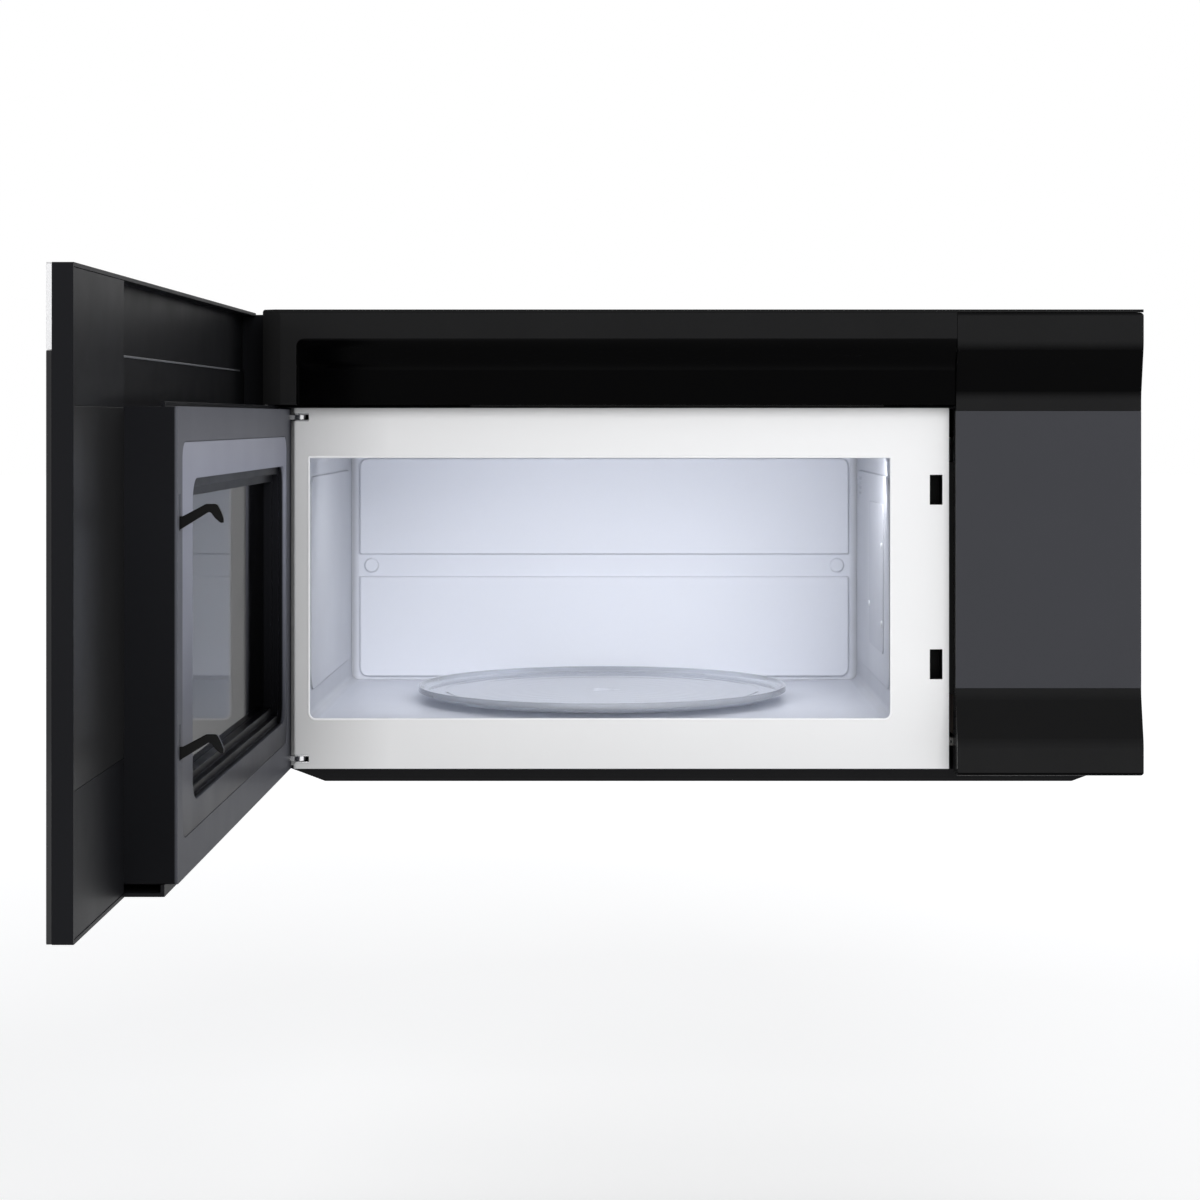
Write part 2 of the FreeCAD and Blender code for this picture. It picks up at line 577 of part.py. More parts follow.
def oven_cavity():
    front = "-body_depth + frame_sheet"
    outer = slab("oven_outer", "y", ("-oven_left - oven_sheet", "oven_right + oven_sheet"),
                 ("-oven_floor - oven_sheet", "oven_roof + oven_sheet"),
                 (front, "-oven_back + oven_sheet"), [(ALL_FOUR, "oven_round + oven_sheet")])
    inner = slab("oven_inner", "y", ("-oven_left", "oven_right"), ("-oven_floor", "oven_roof"),
                 ("-body_depth - 1", "-oven_back"), [(ALL_FOUR, "oven_round")])
    track_hole = rod("oven_track_hole", "z", ("table_x", "table_y"), "track_radius",
                     ("-oven_floor - 5", "-oven_floor + 5"))
    port = block("oven_port", ("oven_right - 2", "oven_right + 5"),
                 ("-port_y - port_half", "-port_y + port_half"),
                 ("port_z - port_half", "port_z + port_half"))
    lamp_holes = []
    for across in range(5):
        for up in range(4):
            lamp_holes.append(rod("oven_lamp_hole_%d_%d" % (across, up), "x",
                                  ("-lamp_y + %d" % (5 * across - 10), "lamp_z + %d" % (5 * up - 7)),
                                  "1.5", ("oven_right - 5", "oven_right + 5")))
    walls = minus("oven_walls", outer, inner, track_hole, port, *lamp_holes)
    # the raised panel on the back wall, with a channel across it and a button at each end
    panel_face = "-oven_back - panel_raise"
    panel = slab("oven_panel", "y", ("-oven_left + panel_margin", "oven_right - panel_margin"),
                 ("-oven_floor + 4", "oven_roof - panel_margin"), (panel_face, "-oven_back + 0.5"),
                 [(ALL_FOUR, "oven_round")])
    channel = slab("oven_channel", "y", ("-oven_left + panel_margin - 1", "oven_right - panel_margin + 1"),
                   ("channel_bottom", "channel_top"), (panel_face + " - 1", "-oven_back"))
    middle = "(channel_top + channel_bottom) / 2"
    buttons = [rod("oven_button_" + name, "y", (across, middle), "dimple_radius",
                   (panel_face + " + 0.6", "-oven_back + 0.5"))
               for name, across in (("left", "-oven_left + panel_margin + 11.5"),
                                    ("right", "oven_right - panel_margin - 11.5"))]
    # the roller track, a shallow round well in the floor
    low = "-oven_floor - track_drop"
    wall = tube("track_wall", "z", ("table_x", "table_y"), "track_radius + oven_sheet",
                "track_radius", (low + " - oven_sheet", "-oven_floor"))
    disc = rod("track_floor", "z", ("table_x", "table_y"), "track_radius + oven_sheet / 2",
               (low + " - oven_sheet", low))
    shaft_hole = rod("track_shaft_hole", "z", ("table_x", "table_y"), "shaft_radius + 2",
                     (low + " - 5", low + " + 5"))
    track = minus("track", joined("track_blank", wall, disc), shaft_hole)
    # pressed panels on the side walls, the right one holed for the port and the lamp
    sides = []
    for name, span in (("left", ("-oven_left - 0.5", "-oven_left + side_raise")),
                       ("right", ("oven_right - side_raise", "oven_right + 0.5"))):
        sides.append(slab("oven_side_" + name, "x",
                          ("-body_depth + side_front", "-oven_back - side_rear"),
                          ("-oven_floor + side_low", "oven_roof - side_high"), span,
                          [(ALL_FOUR, "side_round")]))
    right = minus("oven_side_holed", sides[1], port, *lamp_holes)
    node("oven_cavity", joined("oven", walls, minus("oven_raised", panel, channel), track,
                               sides[0], right, *buttons))

    inner_face = "oven_right - side_raise"
    node("waveguide_cover", slab("guide_cover_sheet", "x",
                                 ("-port_y - port_half - 12", "-port_y + port_half + 12"),
                                 ("port_z - port_half - 12", "port_z + port_half + 12"),
                                 (inner_face + " - 0.8", inner_face), [(ALL_FOUR, "6")]))


# ======================================================================================
# turntable
# ======================================================================================
def turntable():
    centre = ("table_x", "table_y")
    track_floor = "-oven_floor - track_drop"
    motor_top = track_floor + " - oven_sheet"
    axle = "(%s + roller_radius + seat_gap)" % track_floor
    case = rod("table_motor_case", "z", centre, "24", (motor_top + " - 17", motor_top))
    ears = block("table_motor_ears", ("table_x - 34", "table_x + 34"),
                 ("table_y - 7", "table_y + 7"), (motor_top + " - 2", motor_top))
    well = rod("table_motor_well", "z", centre, "shaft_radius + pin_fit",
               (motor_top + " - 10", motor_top + " + 1"))
    node("turntable_motor", minus("table_motor", joined("table_motor_body", case, ears), well))

    shaft = rod("coupler_shaft", "z", centre, "shaft_radius", (motor_top + " - 9", track_floor + " + 3"))
    hub = rod("coupler_hub", "z", centre, "8", (track_floor + " + 1", "-tray_under"))
    lobe = block("coupler_lobe", ("table_x", "table_x + 17"), ("table_y - 3", "table_y + 3"),
                 ("-tray_under - 4", "-tray_under"))
    lobes = [copy_about("coupler_lobe_%d" % turn, lobe, "z", centre, str(turn))
             for turn in (0, 120, 240)]
    node("drive_coupler", joined("coupler", shaft, hub, *lobes))

    rim_top = "-tray_under + tray_rim"
    dish = turned("tray_dish", centre,
                  [("0", "-tray_under"), ("tray_radius - 7", "-tray_under"),
                   ("tray_radius", "-tray_under + 4"), ("tray_radius", rim_top),
                   ("tray_radius - 2.2", rim_top), ("tray_radius - 5", "-tray_under + tray_glass + 1.5"),
                   ("tray_radius - 9", "-tray_under + tray_glass"), ("0", "-tray_under + tray_glass")])
    lug = block("tray_lug", ("table_x + 9.5", "table_x + 16"), ("table_y - 4", "table_y + 4"),
                ("-tray_under - 2.5", "-tray_under + 1"))
    lugs = [copy_about("tray_lug_%d" % turn, lug, "z", centre, str(turn)) for turn in (60, 180, 300)]
    node("glass_tray", joined("tray", dish, *lugs))

    bar = turned("ring_bar_turn", centre,
                 [("ring_radius - ring_bar / 2", axle + " - ring_bar / 2"),
                  ("ring_radius + ring_bar / 2", axle + " - ring_bar / 2"),
                  ("ring_radius + ring_bar / 2", axle + " + ring_bar / 2"),
                  ("ring_radius - ring_bar / 2", axle + " + ring_bar / 2")])
    pin = rod("ring_pin", "x", ("table_y", axle), "roller_pin",
              ("table_x + ring_radius", "table_x + roller_out + roller_width / 2 + 1"))
    turns = (90, 210, 330)
    pins = [copy_about("ring_pin_%d" % turn, pin, "z", centre, str(turn)) for turn in turns]
    node("roller_ring", joined("ring", bar, *pins))
    wheel = tube("roller_wheel", "x", ("table_y", axle), "roller_radius", "roller_pin + pin_fit",
                 ("table_x + roller_out - roller_width / 2", "table_x + roller_out + roller_width / 2"))
    for number, turn in enumerate(turns, 1):
        node("roller_%d" % number, copy_about("roller_at_%d" % turn, wheel, "z", centre, str(turn)))


# ======================================================================================
# microwave power, cooling and controls in the right hand bay
# ======================================================================================
def power_train():
    wall = "oven_right + oven_sheet"
    guide_front = ("-port_y - port_half - 6", "-port_y + port_half + 6")
    outer = block("guide_outer", (wall, wall + " + guide_reach"), guide_front,
                  ("port_z - port_half - 6", "port_z + port_half + 6"))
    inner = block("guide_inner", (wall + " - 5", wall + " + guide_reach - case_sheet"),
                  ("-port_y - port_half", "-port_y + port_half"),
                  ("port_z - port_half", "port_z + port_half"))
    antenna_hole = rod("guide_antenna_hole", "x", ("-port_y", "port_z"), "14",
                       (wall, wall + " + guide_reach + 5"))
    node("waveguide", minus("guide", outer, inner, antenna_hole))

    start = wall + " + guide_reach"
    body = block("magnetron_body", (start, start + " + 62"), ("-port_y - 44", "-port_y + 44"),
                 ("port_z - 38", "port_z + 38"))
    grooves = [block("magnetron_groove_%d" % number,
                     (start + " + %d" % (14 + 6 * number), start + " + %d" % (17 + 6 * number)),
                     ("-port_y - 45", "-port_y - 22"), ("port_z - 39", "port_z + 39"))
               for number in range(6)]
    antenna = rod("magnetron_antenna", "x", ("-port_y", "port_z"), "10", (start + " - 24", start + " + 1"))
    filter_box = block("magnetron_filter", (start + " + 8", start + " + 54"),
                       ("-port_y - 25", "-port_y + 25"), ("port_z + 37", "port_z + 62"))
    node("magnetron", minus("magnetron_cut", joined("magnetron_blank", body, antenna, filter_box),
                            *grooves))

    floor = "-base_drop + case_sheet"
    core = block("core_block", ("transformer_x - 50", "transformer_x + 50"),
                 ("-transformer_y - 42", "-transformer_y + 42"), (floor, floor + " + 80"))
    windows = [block("core_window_%d" % side,
                     ("transformer_x + %d - 9" % (side * 24), "transformer_x + %d + 9" % (side * 24)),
                     ("-transformer_y - 43", "-transformer_y + 43"), (floor + " + 16", floor + " + 64"))
               for side in (-1, 1)]
    coil = slab("coil_block", "z", ("transformer_x - 32.6", "transformer_x + 32.6"),
                ("-transformer_y - 60", "-transformer_y + 60"), (floor + " + 18", floor + " + 62"),
                [(ALL_FOUR, "12")])
    leg = block("coil_leg", ("transformer_x - 15.4", "transformer_x + 15.4"),
                ("-transformer_y - 42.4", "-transformer_y + 42.4"), (floor + " + 10", floor + " + 70"))
    node("hv_transformer", group("transformer", minus("transformer_core", core, *windows),
                                 minus("transformer_coil", coil, leg)))

    can = slab("capacitor_can", "z", ("oven_right + 18", "oven_right + 68"), ("-92", "-48"),
               (floor, floor + " + 96"), [(ALL_FOUR, "18")])
    posts = [rod("capacitor_post_%d" % side, "z", ("oven_right + %d" % (43 + 10 * side), "-70"), "2.5",
                 (floor + " + 95", floor + " + 106")) for side in (-1, 1)]
    node("hv_capacitor", joined("capacitor", can, *posts))
    node("hv_diode", rod("diode_body", "x", ("-70", floor + " + 60"), "3",
                         ("oven_right + 68", "oven_right + 90")))


def cooling_fan():
    centre = ("cooling_x", "cooling_z")
    plate = slab("shroud_plate", "y", ("cooling_x - 66", "half_width - case_sheet"),
                 ("cooling_z - 66", "cooling_z + 66"), ("-46", "-44"), [((0, 3), "8")])
    opening = rod("shroud_opening", "y", centre, "fan_radius + 3", ("-50", "-40"))
    arm = block("shroud_arm", ("cooling_x - 62", "cooling_x + 62"), ("-44", "-41"),
                ("cooling_z - 9", "cooling_z + 9"))
    shaft_hole = rod("shroud_shaft_hole", "y", centre, "3 + 1", ("-50", "-40"))
    node("cooling_shroud", minus("shroud", joined("shroud_blank", minus("shroud_ring", plate, opening),
                                                 arm), shaft_hole))
    case = rod("fan_motor_case", "y", centre, "24", ("-41", "-16"))
    well = rod("fan_motor_well", "y", centre, "3 + pin_fit", ("-42", "-25"))
    node("cooling_motor", minus("fan_motor", case, well))
    hub = rod("fan_hub", "y", centre, "14", ("-72", "-48"))
    shaft = rod("fan_shaft", "y", centre, "3", ("-60", "-27"))
    blade = block("fan_blade", ("cooling_x + 10", "cooling_x + fan_radius"), ("-70", "-50"),
                  ("cooling_z - 1", "cooling_z + 1"))
    pitch = group("fan_blade_pitched", blade)
    pitch.Placement = FreeCAD.Placement(FreeCAD.Vector(), FreeCAD.Rotation(FreeCAD.Vector(1, 0, 0), 35))
    bind(pitch, "Placement.Base.y", "-60 + 60 * cos(35) + cooling_z * sin(35)")
    bind(pitch, "Placement.Base.z", "cooling_z - cooling_z * cos(35) + 60 * sin(35)")
    blades = [copy_about("fan_blade_%d" % turn, pitch, "y", centre, str(turn))
              for turn in range(0, 360, 60)]
    node("cooling_fan", joined("fan", hub, shaft, *blades))


def controls():
    plane = "-body_depth + 2 * frame_sheet"
    board = block("power_card", ("power_board_x - 62", "power_board_x + 62"),
                  (plane + " + 22", plane + " + 23.6"), ("-90", "90"))
    posts = [rod("power_post_%d_%d" % (side, up), "y",
                 ("power_board_x + %d" % (54 * side), str(80 * up)), "3", (plane, plane + " + 22.5"))
             for side in (-1, 1) for up in (-1, 1)]
    relays = [block("power_relay_%d" % number,
                    ("power_board_x - 50", "power_board_x - 28"), (plane + " + 23.5", plane + " + 40"),
                    ("%d" % (30 * number - 70), "%d" % (30 * number - 48))) for number in range(4)]
    supply = block("power_supply", ("power_board_x + 4", "power_board_x + 44"),
                   (plane + " + 23.5", plane + " + 56"), ("-60", "-16"))
    cans = [rod("power_can_%d" % number, "y",
                ("power_board_x + 20", "%d" % (18 * number + 12)), "7",
                (plane + " + 23.5", plane + " + 44")) for number in range(3)]
    node("power_board", joined("power", board, supply, *(posts + relays + cans)))

    front = "-body_depth + frame_sheet"
    body = block("latch_board_body", ("latch_x - 15.5", "latch_board_right"),
                 (front, front + " + 35"), ("latch_low - 26", "latch_high + 24"))
    channels = [block("latch_channel_" + name, ("latch_x - 6.5", "latch_x + 6.5"),
                      (front + " - 1", front + " + 31"),
                      (height + " - latch_slot_height / 2 - 2", height + " + latch_slot_height / 2 + 2"))
                for name, height in latch_heights()]
    node("latch_board", minus("latch_plate", body, *channels))
    switches = []
    for number, height in enumerate(("latch_high", "(latch_high + latch_low) / 2", "latch_low")):
        case = block("switch_case_%d" % number, ("latch_x - 4", "latch_x + 6"),
                     (front + " + 35", front + " + 51"), (height + " - 14", height + " + 14"))
        tabs = [block("switch_tab_%d_%d" % (number, side), ("latch_x", "latch_x + 1"),
                      (front + " + 50", front + " + 57"),
                      (height + " + %d" % (9 * side - 3), height + " + %d" % (9 * side + 3)))
                for side in (-1, 1)]
        switches.append(joined("switch_%d" % number, case, *tabs))
    node("door_switches", group("switches", *switches))

    deck = "frame_top + case_sheet"
    card = block("noise_card", ("gland_x - 40", "gland_x + 30"), ("-gland_y - 76", "-gland_y - 22"),
                 (deck, deck + " + 2"))
    choke = rod("noise_choke", "z", ("gland_x - 14", "-gland_y - 50"), "13",
                (deck + " + 1", deck + " + 26"))
    link = block("noise_link", ("gland_x + 2", "gland_x + 26"), ("-gland_y - 64", "-gland_y - 34"),
                 (deck + " + 1", deck + " + 18"))
    node("noise_filter", joined("noise", card, choke, link))

    roof = "oven_roof + oven_sheet"
    on_roof = rod("cutout_roof", "z", ("table_x + 60", "-120"), "8", (roof, roof + " + 9"))
    magnet_end = "oven_right + oven_sheet + guide_reach + 62"
    on_magnetron = rod("cutout_magnetron", "x", ("-port_y", "port_z"), "8",
                       (magnet_end, magnet_end + " + 9"))
    node("thermal_cutouts", group("cutouts", on_roof, on_magnetron))
    bulb = rod("lamp_bulb", "x", ("-lamp_y", "lamp_z"), "12",
               ("oven_right + oven_sheet + 6", "oven_right + oven_sheet + 34"))
    holder = minus("lamp_holder", rod("lamp_holder_case", "x", ("-lamp_y", "lamp_z"), "16",
                                      ("oven_right + oven_sheet", "oven_right + oven_sheet + 44")),
                   rod("lamp_holder_hollow", "x", ("-lamp_y", "lamp_z"), "12.3",
                       ("oven_right", "oven_right + oven_sheet + 34")))
    node("oven_lamp", group("lamp", bulb, holder))

    flange = rod("gland_flange", "z", ("gland_x", "-gland_y"), "gland_neck + 4",
                 ("top_rise - case_sheet - 3", "top_rise - case_sheet"))
    neck = rod("gland_neck_rod", "z", ("gland_x", "-gland_y"), "gland_neck",
               ("top_rise - case_sheet - 2", "top_rise"))
    bore = rod("gland_bore", "z", ("gland_x", "-gland_y"), "5", ("top_rise - 9", "top_rise + 1"))
    node("cord_gland", minus("gland", joined("gland_blank", flange, neck), bore))


# ======================================================================================
# vent: blower, filters, cooktop lamps
# ======================================================================================
def vent():
    centre = ("-blower_y", "blower_z")
    half = "blower_gap / 2"
    deck = "frame_top + case_sheet"
    shells = []
    wheels = [rod("blower_shaft", "x", centre, "4",
                  ("-%s - blower_length - 2" % half, "%s + blower_length + 2" % half))]
    for side, name in ((-1, "left"), (1, "right")):
        near, far = half + " + seat_gap", half + " + blower_length + 8"
        near_thin, far_thin = near + " + 1.5", far + " - 1.5"
        if side < 0:
            spans = [("-(%s)" % far, "-(%s)" % near), ("-(%s)" % far_thin, "-(%s)" % near_thin)]
        else:
            spans = [(near, far), (near_thin, far_thin)]
        outer = block("scroll_outer_" + name, spans[0], ("-blower_y - 46", "-blower_y + 46"),
                      (deck, "top_rise - case_sheet"))
        inner = block("scroll_inner_" + name, spans[1], ("-blower_y - 44.5", "-blower_y + 44.5"),
                      (deck + " + 1.5", "top_rise + 5"))
        shaft_way = rod("scroll_shaft_way_" + name, "x", centre, "6", spans[0])
        if side < 0:
            mouth_span = ("-(%s) - 1" % far, "-(%s)" % far_thin)
        else:
            mouth_span = (far_thin, far + " + 1")
        mouth = rod("scroll_mouth_" + name, "x", centre, "blower_radius - 6", mouth_span)
        shells.append(minus("scroll_" + name, outer, inner, shaft_way, mouth))
        start, end = half + " + 4", half + " + blower_length"
        if side < 0:
            disc_span = ("-(%s) - 2" % start, "-(%s)" % start)
            hoop_span = ("-(%s)" % end, "-(%s) + 3" % end)
            blade_span = ("-(%s) + 1" % end, "-(%s) - 1" % start)
        else:
            disc_span = (start, start + " + 2")
            hoop_span = (end + " - 3", end)
            blade_span = (start + " + 1", end + " - 1")
        wheels.append(rod("wheel_disc_" + name, "x", centre, "blower_radius", disc_span))
        wheels.append(tube("wheel_hoop_" + name, "x", centre, "blower_radius", "blower_radius - 6",
                           hoop_span))
        blade = block("wheel_blade_" + name, blade_span, ("-blower_y - 0.6", "-blower_y + 0.6"),
                      ("blower_z + blower_radius - 7", "blower_z + blower_radius - 1"))
        for turn in range(0, 360, 20):
            wheels.append(copy_about("wheel_blade_%s_%d" % (name, turn), blade, "x", centre, str(turn)))
    node("blower_housing", group("housing", *shells))
    node("vent_impellers", joined("impellers", *wheels))
    case = rod("blower_motor_case", "x", centre, "30", ("-%s" % half, half))
    foot = block("blower_motor_foot", ("-%s" % half, half), ("-blower_y - 20", "-blower_y + 20"),
                 (deck, "blower_z"))
    way = rod("blower_motor_way", "x", centre, "4 + pin_fit", ("-%s - 1" % half, half + " + 1"))
    node("blower_motor", minus("vent_motor", joined("vent_motor_blank", case, foot), way))

    frame = block("charcoal_frame", ("-200", "160"), ("-body_depth + 4", "-body_depth + 22"),
                  (deck, "top_rise - 4"))
    pockets = [block("charcoal_pocket_%d_%d" % (column, row),
                     ("-196 + 44.5 * %d" % column, "-196 + 44.5 * %d + 40" % column),
                     ("-body_depth", "-body_depth + 7"),
                     (deck + " + 5 + 24 * %d" % row, deck + " + 5 + 24 * %d + 20" % row))
               for column in range(8) for row in range(3)]
    node("charcoal_filter", minus("charcoal", frame, *pockets))

    low = "-pan_drop + pan_sheet"
    outer = prism("pan_outer", "y",
                  [("-pan_half_top", "-base_drop"), ("-pan_half_low", "-pan_drop"),
                   ("pan_half_low", "-pan_drop"), ("pan_half_top", "-base_drop")],
                  ("-pan_front", "-pan_rear"), [((1, 2), "3")])
    inner = prism("pan_inner", "y",
                  [("-pan_half_top + 2", "-base_drop + 1"), ("-pan_half_low + 1.4", low),
                   ("pan_half_low - 1.4", low), ("pan_half_top - 2", "-base_drop + 1")],
                  ("-pan_front + pan_sheet", "-pan_rear - pan_sheet"))
    cuts = [inner]
    lamps, lenses = [], []
    for side, name in ((-1, "left"), (1, "right")):
        middle = "%d * filter_offset" % side
        across = (middle + " - filter_long / 2", middle + " + filter_long / 2")
        along = ("-filter_y - filter_deep / 2", "-filter_y + filter_deep / 2")
        cuts.append(block("pan_intake_" + name, (across[0] + " + 8", across[1] + " - 8"),
                          (along[0] + " + 8", along[1] + " - 8"), ("-pan_drop - 1", "-pan_drop + 5")))
        body = slab("filter_body_" + name, "z", across, along, (low, low + " + filter_thick"),
                    [(ALL_FOUR, "4")])
        cells = [block("filter_cell_%s_%d_%d" % (name, column, row),
                       (across[0] + " + 10 + %d * (filter_long - 20) / 10" % column,
                        across[0] + " + 7 + %d * (filter_long - 20) / 10" % (column + 1)),
                       (along[0] + " + 10 + %d * (filter_deep - 20) / 6" % row,
                        along[0] + " + 7 + %d * (filter_deep - 20) / 6" % (row + 1)),
                       (low + " - 1", low + " + filter_thick + 1"))
                 for column in range(10) for row in range(6)]
        node("grease_filter_" + name, minus("filter_" + name, body, *cells))
        spot = "%d * lamp_offset" % side
        lamp_across = (spot + " - lamp_long / 2", spot + " + lamp_long / 2")
        lamp_along = ("-cook_lamp_y - lamp_deep / 2", "-cook_lamp_y + lamp_deep / 2")
        cuts.append(block("pan_lamp_way_" + name,
                          (lamp_across[0] + " - seat_gap", lamp_across[1] + " + seat_gap"),
                          (lamp_along[0] + " - seat_gap", lamp_along[1] + " + seat_gap"),
                          ("-pan_drop - 1", "-pan_drop + 5")))
        lenses.append(slab("lens_" + name, "z", lamp_across, lamp_along,
                           ("-pan_drop + seat_gap", low), [(ALL_FOUR, "2")]))
        lamps.append(slab("led_" + name, "z", (lamp_across[0] + " - 4", lamp_across[1] + " + 4"),
                          (lamp_along[0] + " - 4", lamp_along[1] + " + 4"), (low, low + " + 8"),
                          [(ALL_FOUR, "3")]))
    node("hood_pan", minus("pan", outer, *cuts))
    node("cooktop_lamps", group("leds", *lamps))
    node("lamp_lenses", group("lenses", *lenses))


# ======================================================================================
# fixed black front panels
# ======================================================================================
def corner_cut(name, across, up, radius, depth):
    """What rounding one corner takes off a piece seen from the front.  across and up each hold
    the side of the piece there and 1 or -1 for the way that side faces."""
    (edge_x, way_x), (edge_z, way_z) = across, up
    centre = ("%s + %d * %s" % (edge_x, -way_x, radius), "%s + %d * %s" % (edge_z, -way_z, radius))
    past = ("%s + %d" % (edge_x, way_x), "%s + %d" % (edge_z, way_z))
    spans = [(c, p) if way > 0 else (p, c) for c, p, way in zip(centre, past, (way_x, way_z))]
    corner = block(name + "_corner", spans[0], depth, spans[1])
    kept = rod(name + "_kept", "y", centre, radius, (depth[0] + " - 1", depth[1] + " + 1"))
    return minus(name, corner, kept)


def front_panels():
    back = "-body_depth"
    face = "-panel_front"
    blank = block("fascia_blank", ("-fascia_left", "panel_left - seat_gap"), (face, back),
                  ("fascia_bottom", "top_rise - trim_thick - 0.1"))
    hollow = block("fascia_hollow", ("-fascia_left + 4", "panel_left - 4"),
                   (face + " + scoop_depth + 2.5", back + " + 1"),
                   ("fascia_bottom + 2.5", "top_rise - trim_thick - 2.6"))
    slope = prism("fascia_slope", "x",
                  [(face + " - 5", "scoop_top + 12"), (face, "scoop_top + 12"), (face, "scoop_top"),
                   (face + " + scoop_depth - 2", "scoop_top - 20"),
                   (face + " + scoop_depth", "fascia_bottom - 5"), (face + " - 5", "fascia_bottom - 5")],
                  ("-fascia_left + scoop_margin", "panel_left + 20"), [((2,), "24"), ((3,), "18")])
    window = slab("fascia_window", "y", ("-fascia_left + scoop_margin", "panel_left + 10"),
                  ("fascia_bottom - 10", "scoop_top + 3"), (face + " - 10", back), [((3,), "scoop_round")])
    scoop = doc.addObject("Part::Common", "fascia_scoop")
    scoop.Base, scoop.Tool = slope, window

    def swing_cut(name):
        corner = block(name + "_corner", ("-fascia_left - 20", "-hinge_x"), (face + " - 5", "-hinge_y"),
                       ("fascia_bottom - 5", "top_rise + 5"))
        kept = rod(name + "_kept", "z", ("-hinge_x", "-hinge_y"), "swing_radius",
                   ("fascia_bottom - 6", "top_rise + 6"))
        return minus(name, corner, kept)

    node("top_fascia", minus("fascia", blank, hollow, scoop, swing_cut("fascia_swing")))

    strip = slab("trim_strip", "x", (face + " + 0.6", back + " - seat_gap"),
                 ("top_rise - trim_thick", "top_rise"), ("-fascia_left", "half_width"),
                 [((2, 3), "0.8")])
    vents = [block("trim_vent_%d" % number,
                   ("-fascia_left + 60 + %d * vent_pitch" % number,
                    "-fascia_left + 60 + %d * vent_pitch + vent_pitch - 12" % number),
                   (face + " + 9", back + " - 7"), ("top_rise - 9", "top_rise + 1"))
             for number in range(8)]
    whole = (face + " - 1", back + " + 1")
    trim_end = corner_cut("trim_end", ("-fascia_left", -1), ("top_rise", 1), "trim_round", whole)
    node("top_trim", minus("trim", strip, swing_cut("trim_swing"), trim_end, *vents))

    flat = "-inset_face"
    panel = prism("panel_blank", "x",
                  [(back, "-panel_low"), (face, "-panel_low"), (face, "-panel_low + 28"),
                   (flat, "-inset_bottom - 6"), (flat, "inset_top + 13"), (face, "scoop_top - 3"),
                   (face, "panel_high"), (back, "panel_high")],
                  ("panel_left", "half_width"),
                  [((2, 5), "30"), ((3, 4), "30"), ((1, 6), "3")])
    hollow = block("panel_hollow", ("panel_left + 2.5", "half_width - 2.5"),
                   (flat + " + inset_thick + 3", back + " + 1"), ("-panel_low + 2.5", "panel_high - 2.5"))
    recess = block("panel_recess", ("panel_left - 1", "half_width + 1"),
                   (flat + " - 5", flat + " + inset_thick"), ("-inset_bottom", "inset_top"))
    upper_end = corner_cut("panel_upper_end", ("half_width", 1), ("panel_high", 1), "panel_round", whole)
    lower_end = corner_cut("panel_lower_end", ("half_width", 1), ("-panel_low", -1), "panel_round", whole)
    node("right_panel", minus("panel", panel, hollow, recess, upper_end, lower_end))
    node("panel_inset", block("inset_glass", ("panel_left", "half_width"),
                              (flat, flat + " + inset_thick"),
                              ("-inset_bottom + 0.1", "inset_top - 0.1")))


# ======================================================================================
# door, drawn closed and swung to its rest pose
# ======================================================================================
def hinges():
    brackets, arms = [], []
    for name, height in hinge_heights():
        half = "hinge_bar / 2"
        gap = half + " + seat_gap"
        plates = [block("bracket_plate_%s_%d" % (name, side),
                        ("-frame_left + frame_sheet + seat_gap", "-hinge_x + 20"),
                        ("-body_depth + frame_sheet", "-hinge_y + 12"),
                        ((height + " + " + gap, height + " + %s + 2" % gap) if side > 0
                         else (height + " - (%s) - 2" % gap, height + " - (%s)" % gap)))
                  for side in (-1, 1)]
        web = block("bracket_web_" + name, ("-hinge_x + 17", "-hinge_x + 20"),
                    ("-body_depth + frame_sheet", "-hinge_y + 12"),
                    (height + " - (%s) - 1" % gap, height + " + %s + 1" % gap))
        pin = rod("bracket_pin_" + name, "z", ("-hinge_x", "-hinge_y"), "hinge_pin",
                  (height + " - (%s) - 1.5" % gap, height + " + %s + 1.5" % gap))
        brackets.append(joined("bracket_" + name, web, pin, *plates))
        span = (height + " - " + half, height + " + " + half)
        boss = rod("arm_boss_" + name, "z", ("-hinge_x", "-hinge_y"), "6", span)
        web_arm = block("arm_web_" + name, ("-hinge_x - 3.6", "-hinge_x + 3.6"),
                        ("-box_face - 4", "-hinge_y"), span)
        tab = block("arm_tab_" + name, ("-box_left + box_sheet", "-hinge_x + 20"),
                    ("-box_face - box_sheet - 2", "-box_face - box_sheet"),
                    (height + " - 5.5", height + " + 5.5"))
        eye = rod("arm_eye_" + name, "z", ("-hinge_x", "-hinge_y"), "hinge_pin + pin_fit",
                  (height + " - 9", height + " + 9"))
        arms.append(minus("arm_" + name, joined("arm_blank_" + name, boss, web_arm, tab), eye))
    node("hinge_brackets", group("brackets", *brackets))
    node("hinge_arms", group("arms", *arms), hung=True)


